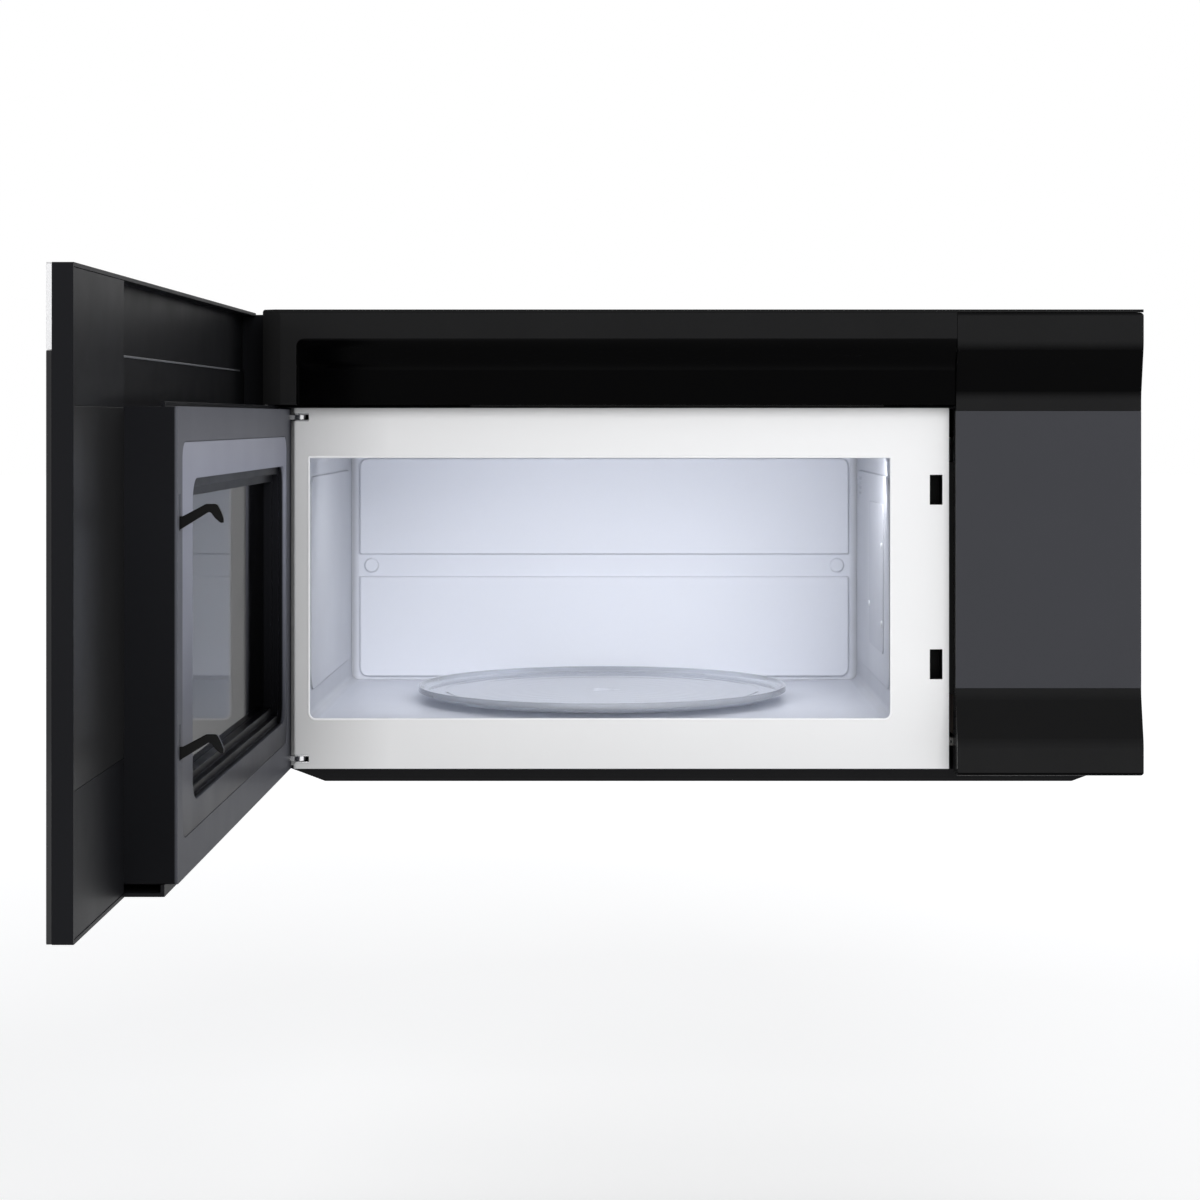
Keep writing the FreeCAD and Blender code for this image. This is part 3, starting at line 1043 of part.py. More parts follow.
def outer_door():
    skin = "-door_face + skin_thick"
    wall = skin + " + tray_wall"
    rim = "-door_rim"
    blank = slab("tray_blank", "y", ("-door_left", "door_right"), ("-door_bottom", "door_top"),
                 (skin, rim), [(ALL_FOUR, "1.5")])
    hollow = block("tray_hollow", ("-door_left + rim_wall", "door_right - rim_wall"),
                   (wall, rim + " + 5"), ("-door_bottom + rim_wall", "door_top - rim_wall"))
    rail = block("tray_rail", ("-door_left + 1", "box_right"), (wall + " - 0.5", "-rail_face"),
                 ("box_top + seat_gap", "band_bottom + 1.6"))
    sight = block("tray_sight", ("-well_left", "well_right"), ("-door_face", rim),
                  ("-well_bottom", "well_top"))
    display_way = block("tray_display_way", ("display_x - 42", "display_x + 42"),
                        ("-door_face", wall + " + 1"), ("display_z - 13", "display_z + 13"))
    end = block("tray_hinge_wall", ("-door_left + 0.2", "-door_left + rim_wall"),
                (rim + " - 1", rim + " + hinge_wall"), ("-door_bottom + 1.5", "door_top - 1.5"))
    # a strip that runs along the foot of the inner door
    strip_x = ("-box_left + 6", "box_right")
    strip_face = "-box_face - strip_set_back"
    strip_y = (strip_face + " - strip_sheet", strip_face)
    lower = block("tray_strip_lower", strip_x, strip_y, ("-door_bottom", "-box_bottom"))
    foot = block("tray_strip_foot", strip_x, (rim + " - 1", strip_face),
                 ("-door_bottom", "-door_bottom + strip_sheet"))
    shell = joined("tray_joined", minus("tray_shell", blank, hollow), rail, end, lower, foot)
    node("door_frame", minus("tray_cut", shell, sight, display_way), hung=True)
    across = ("-door_left", "door_right")
    outside = ("-door_face", skin)
    node("door_glass", slab("glass_front", "y", across, ("-door_bottom", "band_bottom - seat_gap"),
                            outside, [((0, 1), "1.5")]), hung=True)
    node("door_band", slab("band_front", "y", ("-door_left + 0.8", "door_right - 0.8"),
                           ("band_bottom", "door_top"), ("-door_face + 0.2", skin),
                           [((2, 3), "1.5")]), hung=True)

    cover_x = ("box_right + 0.6", "door_right - rim_wall - seat_gap")
    cover_y = (rim + " - seat_gap - cover_thick", rim + " - seat_gap")
    spans = (("edge_cover_top", "cover_split_high + seat_gap", "door_top - rim_wall - seat_gap"),
             ("edge_cover_middle", "-cover_split_low + seat_gap", "cover_split_high"),
             ("edge_cover_bottom", "-door_bottom + rim_wall + seat_gap", "-cover_split_low"))
    for name, low, high in spans:
        node(name, slab(name + "_sheet", "y", cover_x, (low, high), cover_y,
                        [(ALL_FOUR, "1")]), hung=True)

    board = block("keys_card", ("display_x - 55", "display_x + 52"),
                  (wall + " + seat_gap", wall + " + 2"), ("-150", "display_z - 20"))
    chips = [block("keys_chip_%d" % number, ("display_x - 20", "display_x + 4"),
                   (wall + " + 1.9", wall + " + 4.5"),
                   ("%d" % (45 * number - 120), "%d" % (45 * number - 98)))
             for number in range(4)]
    node("control_board", joined("keys", board, *chips), hung=True)
    node("display_module", slab("display_block", "y", ("display_x - 41", "display_x + 41"),
                                ("display_z - 12", "display_z + 12"), (skin, wall + " + 5"),
                                [(ALL_FOUR, "1")]), hung=True)


def inner_door():
    outer_wall = "-door_face + skin_thick + tray_wall"
    face = "-box_face"
    body = slab("box_blank", "y", ("-box_left", "box_right"), ("-box_bottom", "box_top"),
                (outer_wall, face), [(ALL_FOUR, "2")])
    flange = block("box_flange", ("-box_left + 2 * strip_set_back", "box_right - 2"),
                   (face + " - strip_set_back - strip_sheet", face + " - strip_set_back"),
                   ("box_top - 0.5", "box_top + strip_rise"))
    blank = joined("box_flanged", body, flange)
    hollow = block("box_hollow", ("-box_left + box_sheet", "box_right - box_sheet"),
                   (outer_wall + " - 1", face + " - box_sheet"),
                   ("-box_bottom + box_sheet", "box_top - box_sheet"))
    mouth = slab("box_mouth", "y", ("-choke_left", "choke_right"), ("-choke_bottom", "choke_top"),
                 (face + " - 5", face + " + 5"), [(ALL_FOUR, "choke_round")])
    cuts = [hollow, mouth]
    for name, height in latch_heights():
        base = height + " - latch_drop"
        cuts.append(block("box_latch_slot_" + name, ("latch_x - 2", "latch_x + 2"),
                          (face + " - 5", face + " + 5"),
                          (base + " - 0.6", base + " + 18.5 + latch_travel")))
    for name, height in hinge_heights():
        cuts.append(block("box_hinge_slot_" + name, ("-hinge_x - 3.8", "-hinge_x + 3.8"),
                          (face + " - 3", face + " + 5"), (height + " - 2.3", height + " + 2.3")))
    node("inner_door", minus("box", blank, *cuts), hung=True)

    gap = "choke_gap"
    ring = slab("choke_blank", "y", ("-choke_left + " + gap, "choke_right - " + gap),
                ("-choke_bottom + " + gap, "choke_top - " + gap), ("-choke_back", face + " - 0.2"),
                [(ALL_FOUR, "choke_round")])
    cuts = []
    for number, (inset, floor) in enumerate((("0", face + " - 5"), ("well_step / 2", face + " - 10"),
                                             ("well_step", "-choke_back - 1"))):
        cuts.append(slab("choke_well_%d" % number, "y",
                         ("-well_left + " + inset, "well_right - " + inset),
                         ("-well_bottom + " + inset, "well_top - " + inset), (floor, face + " + 5"),
                         [(ALL_FOUR, "well_round - %s" % inset)]))
    node("choke_cover", minus("choke", ring, *cuts), hung=True)
    step = "well_step"
    pane_x = ("-well_left + %s - 5" % step, "well_right - %s + 5" % step)
    pane_z = ("-well_bottom + %s - 5" % step, "well_top - %s + 5" % step)
    node("window_glass", slab("window_pane", "y", pane_x, pane_z,
                              ("-choke_back - pane_thick", "-choke_back"), [(ALL_FOUR, "3")]), hung=True)
    screen_y = ("-choke_back - pane_thick - 0.8", "-choke_back - pane_thick")
    node("window_screen", slab("window_mesh", "y", pane_x, pane_z, screen_y, [(ALL_FOUR, "3")]), hung=True)


def latch():
    face = "-box_face"
    bar_low, bar_high = "latch_low - latch_drop - 4", "latch_high - latch_drop + 22"
    bar = block("latch_spine", ("latch_x - 5", "box_right - box_sheet - seat_gap"),
                (face + " - 13", face + " - 5"), (bar_low, bar_high))
    hooks = []
    for name, height in latch_heights():
        base = height + " - latch_drop"
        # out along the arm, over the crown, down to the tip and back under the arm
        tip = face + " + latch_reach"
        points = [(face + " - 6", base + " + 0"), (face, base + " + 0"),
                  (face + " + 20", base + " + 12.3"), (face + " + 23.3", base + " + 7.8"),
                  (tip + " - 2", base + " + 4.7"), (tip, base + " + 4.9"), (tip, base + " + 7.5"),
                  (tip + " - 1.5", base + " + 11.6"), (face + " + 24.6", base + " + 17.2"),
                  (face + " + 17.4", base + " + 17.2"), (face + " + 2", base + " + 9"),
                  (face + " - 6", base + " + 9")]
        hooks.append(prism("latch_hook_" + name, "x", points,
                           ("latch_x - latch_bar / 2", "latch_x + latch_bar / 2"),
                           [((2, 3, 7), "2"), ((8,), "2.5")]))
    node("latch_bar", joined("latch_set", bar, *hooks), hung=True)
    top = "box_top - box_sheet"
    node("latch_spring", tube("spring_tube", "z", ("latch_x + 1", face + " - 9"), "3.2", "2.4",
                              (bar_high, top)), hung=True)


cabinet_shell()
screws()
front_frame()
oven_cavity()
turntable()
power_train()
cooling_fan()
controls()
vent()
front_panels()
hinges()
outer_door()
inner_door()
latch()
doc.recompute()

faults = [thing.Label for thing in doc.Objects
          if "Invalid" in thing.State or "Error" in thing.State or "Touched" in thing.State]
if faults:
    raise RuntimeError("objects that did not rebuild: %s" % ", ".join(faults))
for piece in nodes:
    if piece.Shape.isNull() or not piece.Shape.isValid() or not piece.Shape.Solids:
        raise RuntimeError("no valid solid for %s" % piece.Label)
for piece in nodes:
    piece.Shape.exportStep("parts/%s.step" % piece.Label)
print("%d sub-parts written" % len(nodes))
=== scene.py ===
import json
import math

import bmesh
import bpy
from mathutils import Matrix, Vector


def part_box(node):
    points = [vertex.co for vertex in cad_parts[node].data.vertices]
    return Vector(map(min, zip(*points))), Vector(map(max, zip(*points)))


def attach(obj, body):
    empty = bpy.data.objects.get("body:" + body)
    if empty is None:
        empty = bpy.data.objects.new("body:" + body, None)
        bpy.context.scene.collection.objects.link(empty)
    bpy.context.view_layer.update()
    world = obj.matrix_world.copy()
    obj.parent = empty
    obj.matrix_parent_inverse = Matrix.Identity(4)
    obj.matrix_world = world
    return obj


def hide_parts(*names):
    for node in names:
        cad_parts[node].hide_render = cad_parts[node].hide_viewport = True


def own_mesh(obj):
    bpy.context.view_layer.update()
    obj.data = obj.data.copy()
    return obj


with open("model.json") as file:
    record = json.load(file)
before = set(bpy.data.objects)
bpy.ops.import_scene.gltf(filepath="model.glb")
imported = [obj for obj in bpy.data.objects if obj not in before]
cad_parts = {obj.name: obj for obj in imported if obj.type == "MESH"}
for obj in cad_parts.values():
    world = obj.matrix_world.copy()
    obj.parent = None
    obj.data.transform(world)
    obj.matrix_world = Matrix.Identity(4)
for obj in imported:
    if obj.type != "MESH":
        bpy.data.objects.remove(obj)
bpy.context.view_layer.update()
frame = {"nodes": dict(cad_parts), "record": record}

MM = 0.001

# --------------------------------------------------------------------------------------
# camera: the photograph's own view, one point perspective straight at the oven
# --------------------------------------------------------------------------------------
IMAGE = 1200
FOCAL_PX = 2589
SENSOR_MM = 36
CENTRE_PX = (631, 419)
EYE = Vector((-0.060, -2.632, 0.114))


def camera():
    data = bpy.data.cameras.new("camera")
    data.sensor_width = SENSOR_MM
    data.lens = FOCAL_PX * SENSOR_MM / IMAGE
    data.shift_x = (IMAGE / 2 - CENTRE_PX[0]) / IMAGE
    data.shift_y = (CENTRE_PX[1] - IMAGE / 2) / IMAGE
    obj = bpy.data.objects.new("camera", data)
    obj.location = EYE
    obj.rotation_euler = (math.pi / 2, 0, 0)
    bpy.context.scene.collection.objects.link(obj)
    bpy.context.scene.camera = obj


# --------------------------------------------------------------------------------------
# node helpers
# --------------------------------------------------------------------------------------
class Nodes:
    """A node tree that is filled one call at a time."""

    def __init__(self, tree, out):
        self.tree = tree
        self.tree.nodes.clear()
        self.out = self.add(out)

    def add(self, kind, **settings):
        made = self.tree.nodes.new(kind)
        for key, setting in settings.items():
            setattr(made, key, setting)
        return made

    def link(self, source, target):
        self.tree.links.new(source, target)

    def put(self, target, setting):
        """A number, colour or another node's output into a socket."""
        if isinstance(setting, bpy.types.NodeSocket):
            self.link(setting, target)
        else:
            target.default_value = setting

    def math(self, operation, first, second=0.0):
        made = self.add("ShaderNodeMath", operation=operation)
        self.put(made.inputs[0], first)
        self.put(made.inputs[1], second)
        return made.outputs[0]

    def seen(self):
        """1 for camera, glossy and transmission rays, 0 for the rays that carry soft light."""
        path = self.add("ShaderNodeLightPath")
        also = self.math("MAXIMUM", path.outputs["Is Glossy Ray"],
                         path.outputs["Is Transmission Ray"])
        return self.math("MAXIMUM", path.outputs["Is Camera Ray"], also)


class Shader(Nodes):
    """A material made of nodes, in the object's own coordinates."""

    def __init__(self, name):
        self.material = bpy.data.materials.new(name)
        self.material.use_nodes = True
        super().__init__(self.material.node_tree, "ShaderNodeOutputMaterial")
        self.point = self.add("ShaderNodeTexCoord").outputs["Object"]

    def along(self, axis):
        """The object's own X, Y or Z, in metres."""
        parts = self.add("ShaderNodeSeparateXYZ")
        self.link(self.point, parts.inputs[0])
        return parts.outputs[axis]

    def noise(self, scale, detail=3.0, rough=0.55, stretch=(1, 1, 1)):
        mapped = self.add("ShaderNodeMapping")
        mapped.inputs["Scale"].default_value = stretch
        self.link(self.point, mapped.inputs["Vector"])
        made = self.add("ShaderNodeTexNoise")
        made.inputs["Scale"].default_value = scale
        made.inputs["Detail"].default_value = detail
        made.inputs["Roughness"].default_value = rough
        self.link(mapped.outputs["Vector"], made.inputs["Vector"])
        return made.outputs["Fac"]

    def spread(self, source, low, high, start=0.2, end=0.8):
        """Maps a value that runs from start to end onto low to high, and holds it there."""
        made = self.add("ShaderNodeMapRange")
        made.inputs["From Min"].default_value = start
        made.inputs["From Max"].default_value = end
        made.inputs["To Min"].default_value = low
        made.inputs["To Max"].default_value = high
        self.link(source, made.inputs["Value"])
        return made.outputs["Result"]

    def blend(self, amount, first, second):
        made = self.add("ShaderNodeMix", data_type="RGBA")
        self.put(made.inputs[0], amount)
        self.put(made.inputs[6], first)
        self.put(made.inputs[7], second)
        return made.outputs[2]

    def rounded(self, radius):
        made = self.add("ShaderNodeBevel", samples=4)
        made.inputs["Radius"].default_value = radius
        return made.outputs["Normal"]

    def bump(self, height, strength, distance, normal=None):
        made = self.add("ShaderNodeBump")
        made.inputs["Strength"].default_value = strength
        made.inputs["Distance"].default_value = distance
        self.link(height, made.inputs["Height"])
        if normal is not None:
            self.link(normal, made.inputs["Normal"])
        return made.outputs["Normal"]

    def principled(self, **settings):
        """The finished surface.  A keyword names a socket, with _ for each blank."""
        made = self.add("ShaderNodeBsdfPrincipled")
        for key, setting in settings.items():
            self.put(made.inputs[key.replace("_", " ")], setting)
        self.link(made.outputs["BSDF"], self.out.inputs["Surface"])
        return self.material


def shade(colour, factor):
    return tuple(min(1.0, part * factor) for part in colour[:3]) + (1.0,)


def shaded_along(make, colours, painted_shades):
    """Painted shade: darkens a colour along the object's axes.  Each fade holds an axis, two
    places along it and the share of the tone that is left at the first."""
    for axis, start, end, share in painted_shades:
        left = make.spread(make.along(axis), share, 1.0, start, end)
        colours = make.blend(left, (0, 0, 0, 1), colours)
    return colours


# --------------------------------------------------------------------------------------
# kinds of material
# --------------------------------------------------------------------------------------
def surface(name, colour, rough, spread=0.05, metal=0.0, specular=0.5, edge=0.5 * MM,
            grain=900.0, grain_depth=0.02 * MM, grain_strength=0.25, tone=0.06, painted_shades=()):
    """A painted, moulded or plated surface: its tone drifts a little, its gloss is uneven as
    if handled, fine grain lifts it, and its edges are rounded.  Fades along its axes, when given,
    are painted shade."""
    make = Shader(name)
    drift = make.spread(make.noise(7.0, 2.0), 0.0, 1.0)
    colours = make.blend(drift, shade(colour, 1 - tone), shade(colour, 1 + tone))
    smear = make.noise(19.0, 3.0, 0.5)
    return make.principled(
        Base_Color=shaded_along(make, colours, painted_shades), Metallic=metal, Specular_IOR_Level=specular,
        Roughness=make.spread(smear, max(0.02, rough - spread), rough + spread),
        Normal=make.bump(make.noise(grain, 2.0), grain_strength, grain_depth, make.rounded(edge)))


SHEEN_STARTS = (-0.22, -0.04)        # upward part of a face's normal: from painted shade to painted sheen
SHEEN_THINS = (0.04, 0.30)           # the same: from the full painted sheen to half of it
FASCIA_FRONT = (-0.4128, -0.4100)   # Y: from the front plane of the fascia into its scoop
SCOOP_END = (-0.3490, -0.3470)      # X: from the plain end of the fascia to its scoop
# the black of faces kept in painted shade, and the black lifted by the painted sheen
SHADE_BLACK = (0.0004, 0.0004, 0.0005, 1)
SHEEN_BLACK = (0.0145, 0.0145, 0.0148, 1)


def gloss(name, dark_scoop=False):
    """Deep black gloss moulding whose base colour carries a painted reflection: faces that look
    forward or up are lifted off pure black by a softly patchy painted sheen, and faces that look
    down stay pure black as painted shade.  On request, all that lies behind the front plane stays
    pure black too, as painted shade in the scoop."""
    make = Shader(name)
    facing = make.add("ShaderNodeSeparateXYZ")
    make.link(make.add("ShaderNodeNewGeometry").outputs["Normal"], facing.inputs[0])
    # painted reflection: the sheen follows the way a face looks
    haze = make.math("MULTIPLY", make.spread(facing.outputs["Z"], 0.0, 1.0, *SHEEN_STARTS),
                     make.spread(facing.outputs["Z"], 1.0, 0.5, *SHEEN_THINS))
    if dark_scoop:
        # painted shade: the scoop behind the front plane stays pure black
        front = make.spread(make.along("Y"), 1.0, 0.0, *FASCIA_FRONT)
        beside = make.spread(make.along("X"), 1.0, 0.0, *SCOOP_END)
        haze = make.math("MULTIPLY", haze, make.math("MAXIMUM", front, beside))
    swirl = make.spread(make.noise(12.0, 3.0), 0.85, 1.0)
    return make.principled(
        Base_Color=make.blend(make.math("MULTIPLY", haze, swirl), SHADE_BLACK, SHEEN_BLACK),
        Roughness=make.spread(make.noise(19.0, 3.0), 0.07, 0.16),
        Normal=make.bump(make.noise(60.0, 1.0), 0.04, 0.04 * MM, make.rounded(1.0 * MM)),
        Specular_IOR_Level=0.03)


def brushed(name, colour, along):
    """Brushed steel: fine scratches drawn along one direction."""
    make = Shader(name)
    stretch = [1.0 if way == along else 60.0 for way in "xyz"]
    lines = make.noise(30.0, 5.0, 0.7, stretch)
    return make.principled(
        Base_Color=make.blend(make.spread(lines, 0.0, 1.0), shade(colour, 0.86),
                              shade(colour, 1.06)),
        Roughness=make.spread(lines, 0.20, 0.38),
        Normal=make.bump(lines, 0.12, 0.02 * MM, make.rounded(0.4 * MM)), Metallic=1.0)


def glass(name, colour, rough=0.02, ripple=0.02, index=1.42):
    """Moulded glass with a faint ripple and a touch of haze."""
    make = Shader(name)
    return make.principled(
        Base_Color=shade(colour, 1.0),
        Roughness=make.spread(make.noise(14.0, 5.0), rough, rough + 0.05),
        Normal=make.bump(make.noise(30.0, 1.0), ripple, 0.2 * MM, make.rounded(0.6 * MM)),
        Transmission_Weight=1.0, IOR=index)


def enamel(name, colour, rough, edge, speck, painted_shades=()):
    """Vitreous enamel: glossy, slightly wavy, with a very fine speckle in its colour.  Fades
    along its axes, when given, are painted shade.
    """
    make = Shader(name)
    fleck = make.spread(make.noise(2600.0, 2.0), 0.0, 1.0, 0.35, 0.65)
    drift = make.spread(make.noise(5.0, 3.0), 0.0, 1.0)
    low = make.blend(fleck, shade(colour, 1 - speck), shade(colour, 1.0))
    high = make.blend(fleck, shade(colour, 1.0), shade(colour, 1 + speck * 0.6))
    return make.principled(
        Base_Color=shaded_along(make, make.blend(drift, low, high), painted_shades),
        Roughness=make.spread(make.noise(11.0, 2.0), rough - 0.04, rough + 0.06),
        Normal=make.bump(make.noise(70.0, 1.0), 0.03, 0.03 * MM, make.rounded(edge)),
        Specular_IOR_Level=0.5)


HOLE_PITCH = 2.1 * MM
ROW_PITCH = HOLE_PITCH * 0.866
HOLE_EDGE = (0.30, 0.36)            # from the middle of a hole to the sheet, in pitches


def perforated(name):
    """Black enamelled screen with round holes in staggered rows; the holes are not cut but
    painted near-black, as painted shade for the dark seen through them.
    """
    make = Shader(name)
    across = make.math("DIVIDE", make.along("Y"), HOLE_PITCH)
    up = make.math("DIVIDE", make.along("Z"), ROW_PITCH)
    stagger = make.math("MULTIPLY", make.math("MODULO", make.math("FLOOR", up), 2.0), 0.5)
    off_across = make.math("SUBTRACT", make.math("FRACT", make.math("ADD", across, stagger)), 0.5)
    off_up = make.math("MULTIPLY", make.math("SUBTRACT", make.math("FRACT", up), 0.5), 0.866)
    near = make.math("SQRT", make.math("ADD", make.math("MULTIPLY", off_across, off_across),
                                       make.math("MULTIPLY", off_up, off_up)))
    solid = make.spread(near, 0.0, 1.0, *HOLE_EDGE)
    tone = make.blend(make.noise(20.0, 4.0), (0.005, 0.005, 0.006, 1), (0.009, 0.009, 0.010, 1))
    return make.principled(
        # painted shade: the holes are near-black spots on the sheet
        Base_Color=make.blend(solid, (0.001, 0.001, 0.001, 1), tone),
        Roughness=make.spread(make.noise(30.0, 3.0), 0.35, 0.5),
        Normal=make.bump(solid, 0.3, 0.1 * MM), Specular_IOR_Level=0.2)


WEAVE = 2100.0                      # strands of the grease filter's mesh, in radians per metre


def mesh_metal(name):
    """Layers of expanded aluminium mesh in a grease filter, a little oily."""
    make = Shader(name)
    strands = [make.math("SINE", make.math("MULTIPLY", make.math(
        way, make.along("X"), make.along("Y")), WEAVE)) for way in ("ADD", "SUBTRACT")]
    weave = make.math("MAXIMUM", *strands)
    return make.principled(
        # painted shade: the troughs of the weave are dark, for the shade in the openings between
        # strands
        Base_Color=make.blend(make.spread(weave, 0.0, 1.0, 0.0, 1.0), (0.12, 0.12, 0.12, 1),
                              (0.62, 0.61, 0.59, 1)),
        Roughness=make.spread(make.noise(60.0, 4.0), 0.25, 0.5),
        Normal=make.bump(weave, 0.6, 0.4 * MM, make.rounded(0.4 * MM)), Metallic=1.0)


def galvanised(name):
    """Zinc coated sheet with its large soft spangle."""
    make = Shader(name)
    cells = make.add("ShaderNodeTexVoronoi")
    cells.inputs["Scale"].default_value = 90.0
    make.link(make.point, cells.inputs["Vector"])
    zinc = (0.55, 0.56, 0.57)
    return make.principled(
        Base_Color=make.blend(make.spread(cells.outputs["Distance"], 0.0, 1.0, 0.1, 0.9),
                              shade(zinc, 0.8), shade(zinc, 1.1)),
        Roughness=make.spread(make.noise(40.0, 4.0), 0.28, 0.46),
        Normal=make.bump(make.noise(500.0, 2.0), 0.1, 0.02 * MM, make.rounded(0.4 * MM)),
        Metallic=0.9)


WINDOW = {"Y": (-0.8685, -0.4160), "Z": (-0.1376, 0.0656)}


def door_front(name):
    """Black printed glass whose window area is clear smoked glass."""
    make = Shader(name)
    insets = []
    for axis, (low, high) in WINDOW.items():
        off = make.math("ABSOLUTE", make.math("SUBTRACT", make.along(axis), (high + low) / 2))
        insets.append(make.math("SUBTRACT", (high - low) / 2, off))
    clear = make.spread(make.math("MINIMUM", *insets), 0.0, 1.0, -1.0 * MM, 1.0 * MM)
    return make.principled(
        Base_Color=make.blend(clear, (0.006, 0.006, 0.007, 1), (0.20, 0.20, 0.21, 1)),
        Roughness=make.spread(make.noise(7.0, 6.0, 0.7, (1, 1, 3)), 0.03, 0.10),
        Normal=make.bump(make.noise(18.0, 2.0), 0.03, 0.1 * MM, make.rounded(0.8 * MM)),
        Transmission_Weight=clear, Specular_IOR_Level=0.35)


def glowing(name, colour, strength):
    make = Shader(name)
    return make.principled(
        Base_Color=shade(colour, 0.5), Roughness=make.spread(make.noise(50.0, 3.0), 0.3, 0.5),
        Emission_Color=shade(colour, 1.0), Emission_Strength=strength)


TABLE = (-0.087, -0.201)            # axis of the turntable
TRAY_STEP = (0.1450, 0.1480)        # the step near the tray's rim, out from its middle
MOULD_RINGS = 420.0                 # rings of the mould, in radians per metre


def tray_glass(name):
    """Moulded tray glass, clear with a cool milky cast, a shallow step near its rim and the
    faint rings of the mould."""
    make = Shader(name)
    off_x = make.math("SUBTRACT", make.along("X"), TABLE[0])
    off_y = make.math("SUBTRACT", make.along("Y"), TABLE[1])
    out = make.math("SQRT", make.math("ADD", make.math("MULTIPLY", off_x, off_x),
                                      make.math("MULTIPLY", off_y, off_y)))
    step = make.spread(out, 0.0, 1.0, *TRAY_STEP)
    rings = make.math("MULTIPLY", make.math("SINE", make.math("MULTIPLY", out, MOULD_RINGS)), 0.05)
    return make.principled(
        Base_Color=make.blend(make.noise(9.0, 2.0), (0.84, 0.87, 0.93, 1), (0.89, 0.92, 0.97, 1)),
        Roughness=make.spread(make.noise(14.0, 3.0), 0.03, 0.08),
        Normal=make.bump(make.math("ADD", step, rings), 0.6, 1.2 * MM, make.rounded(1.4 * MM)),
        Transmission_Weight=0.70, IOR=1.42)


# --------------------------------------------------------------------------------------
# the materials, by slot
# --------------------------------------------------------------------------------------
MATERIALS = {
    "case_black": surface(
        "case_black", (0.008, 0.008, 0.009), 0.42, 0.04, specular=0.12, tone=0.03, grain=420.0,
        grain_depth=0.05 * MM, grain_strength=0.3),
    # painted shade: the frame darkens towards the hinge side, where the open door shades it, and
    # towards the bottom
    "frame_white": enamel(
        "frame_white", (0.88, 0.88, 0.882), 0.34, 0.8 * MM, 0.01,
        painted_shades=(("X", -0.352, -0.270, 0.66), ("Z", -0.190, -0.100, 0.90))),
    # painted shade: the side walls and the floor of the oven are darker than its back
    "oven_enamel": enamel(
        "oven_enamel", (0.81, 0.835, 0.905), 0.36, 2.0 * MM, 0.02,
        painted_shades=(("X", -0.3400, -0.3340, 0.57), ("X", 0.1665, 0.1600, 0.60),
               ("Z", -0.1485, -0.1445, 0.82))),
    "mica": surface(
        "mica", (0.50, 0.515, 0.56), 0.55, 0.1, specular=0.3, grain=600.0, tone=0.03),
    # painted reflection: faces looking forward or up carry a painted sheen, faces looking down
    # stay black as painted shade
    "gloss_black": gloss("gloss_black"),
    "inset_grey": surface(
        "inset_grey", (0.0415, 0.0425, 0.0485), 0.34, 0.04, specular=0.14, edge=0.6 * MM,
        grain=1500.0, grain_strength=0.1, tone=0.03),
    "door_shell": surface(
        "door_shell", (0.0085, 0.0087, 0.0100), 0.42, 0.04, specular=0.04, grain=1400.0,
        grain_strength=0.15),
    "door_cover_gloss": surface(
        "door_cover_gloss", (0.0138, 0.0138, 0.0144), 0.34, 0.03, specular=0.05, grain=1400.0,
        grain_depth=0.01 * MM, grain_strength=0.1),
    "door_glass": door_front("door_glass"),
    "steel_band": brushed("steel_band", (0.66, 0.66, 0.67), "y"),
    # painted reflection and shade: the grey-blue base colour with almost no gloss stands for the
    # white frame reflected in this dark steel, and it darkens across X and towards the bottom as
    # painted shade
    "inner_steel": surface(
        "inner_steel", (0.112, 0.115, 0.132), 0.40, 0.03, specular=0.015, edge=0.9 * MM,
        grain=300.0, grain_depth=0.01 * MM, grain_strength=0.08,
        painted_shades=(("X", -0.3592, -0.3578, 0.10), ("Z", -0.190, 0.050, 0.60))),
    # painted reflection and shade: the grey-blue base colour with almost no gloss stands for the
    # white frame reflected in the dark choke cover, and its edge and lower part are darkened as
    # painted shade
    "choke_grey": surface(
        "choke_grey", (0.285, 0.294, 0.353), 0.30, 0.03, specular=0.012, edge=1.4 * MM,
        grain_depth=0.01 * MM, grain_strength=0.08,
        painted_shades=(("X", -0.3600, -0.3585, 0.04), ("Z", -0.165, 0.060, 0.08))),
    "window_glass": glass("window_glass", (0.30, 0.31, 0.33), index=1.17),
    "mesh": perforated("mesh"),
    "tray_glass": tray_glass("tray_glass"),
    "latch_black": surface(
        "latch_black", (0.004, 0.004, 0.004), 0.34, 0.06, specular=0.10, edge=0.6 * MM),
    "bright_steel": surface(
        "bright_steel", (0.66, 0.66, 0.67), 0.22, 0.08, metal=1.0, grain=700.0, tone=0.08),
    "ring_plastic": surface("ring_plastic", (0.72, 0.74, 0.77), 0.42, 0.06, edge=0.6 * MM),
    "zinc": galvanised("zinc"),
    "iron": surface(
        "iron", (0.10, 0.085, 0.07), 0.45, 0.12, specular=0.4, grain=250.0,
        grain_depth=0.15 * MM, grain_strength=0.5, tone=0.2),
    "part_black": surface(
        "part_black", (0.03, 0.03, 0.03), 0.5, 0.08, specular=0.35, grain=1200.0),
    "board_green": surface(
        "board_green", (0.03, 0.13, 0.06), 0.4, 0.1, specular=0.45, grain=500.0,
        grain_depth=0.1 * MM, grain_strength=0.4, tone=0.15),
    "filter_mesh": mesh_metal("filter_mesh"),
    "lamp": glass("lamp", (0.93, 0.93, 0.90), 0.32, ripple=0.5),
}

# nodes that differ from the rest of their slot; the top fascia's scoop stays pure black as painted
# shade
OWN_MATERIALS = {"top_fascia": gloss("gloss_scooped", dark_scoop=True)}


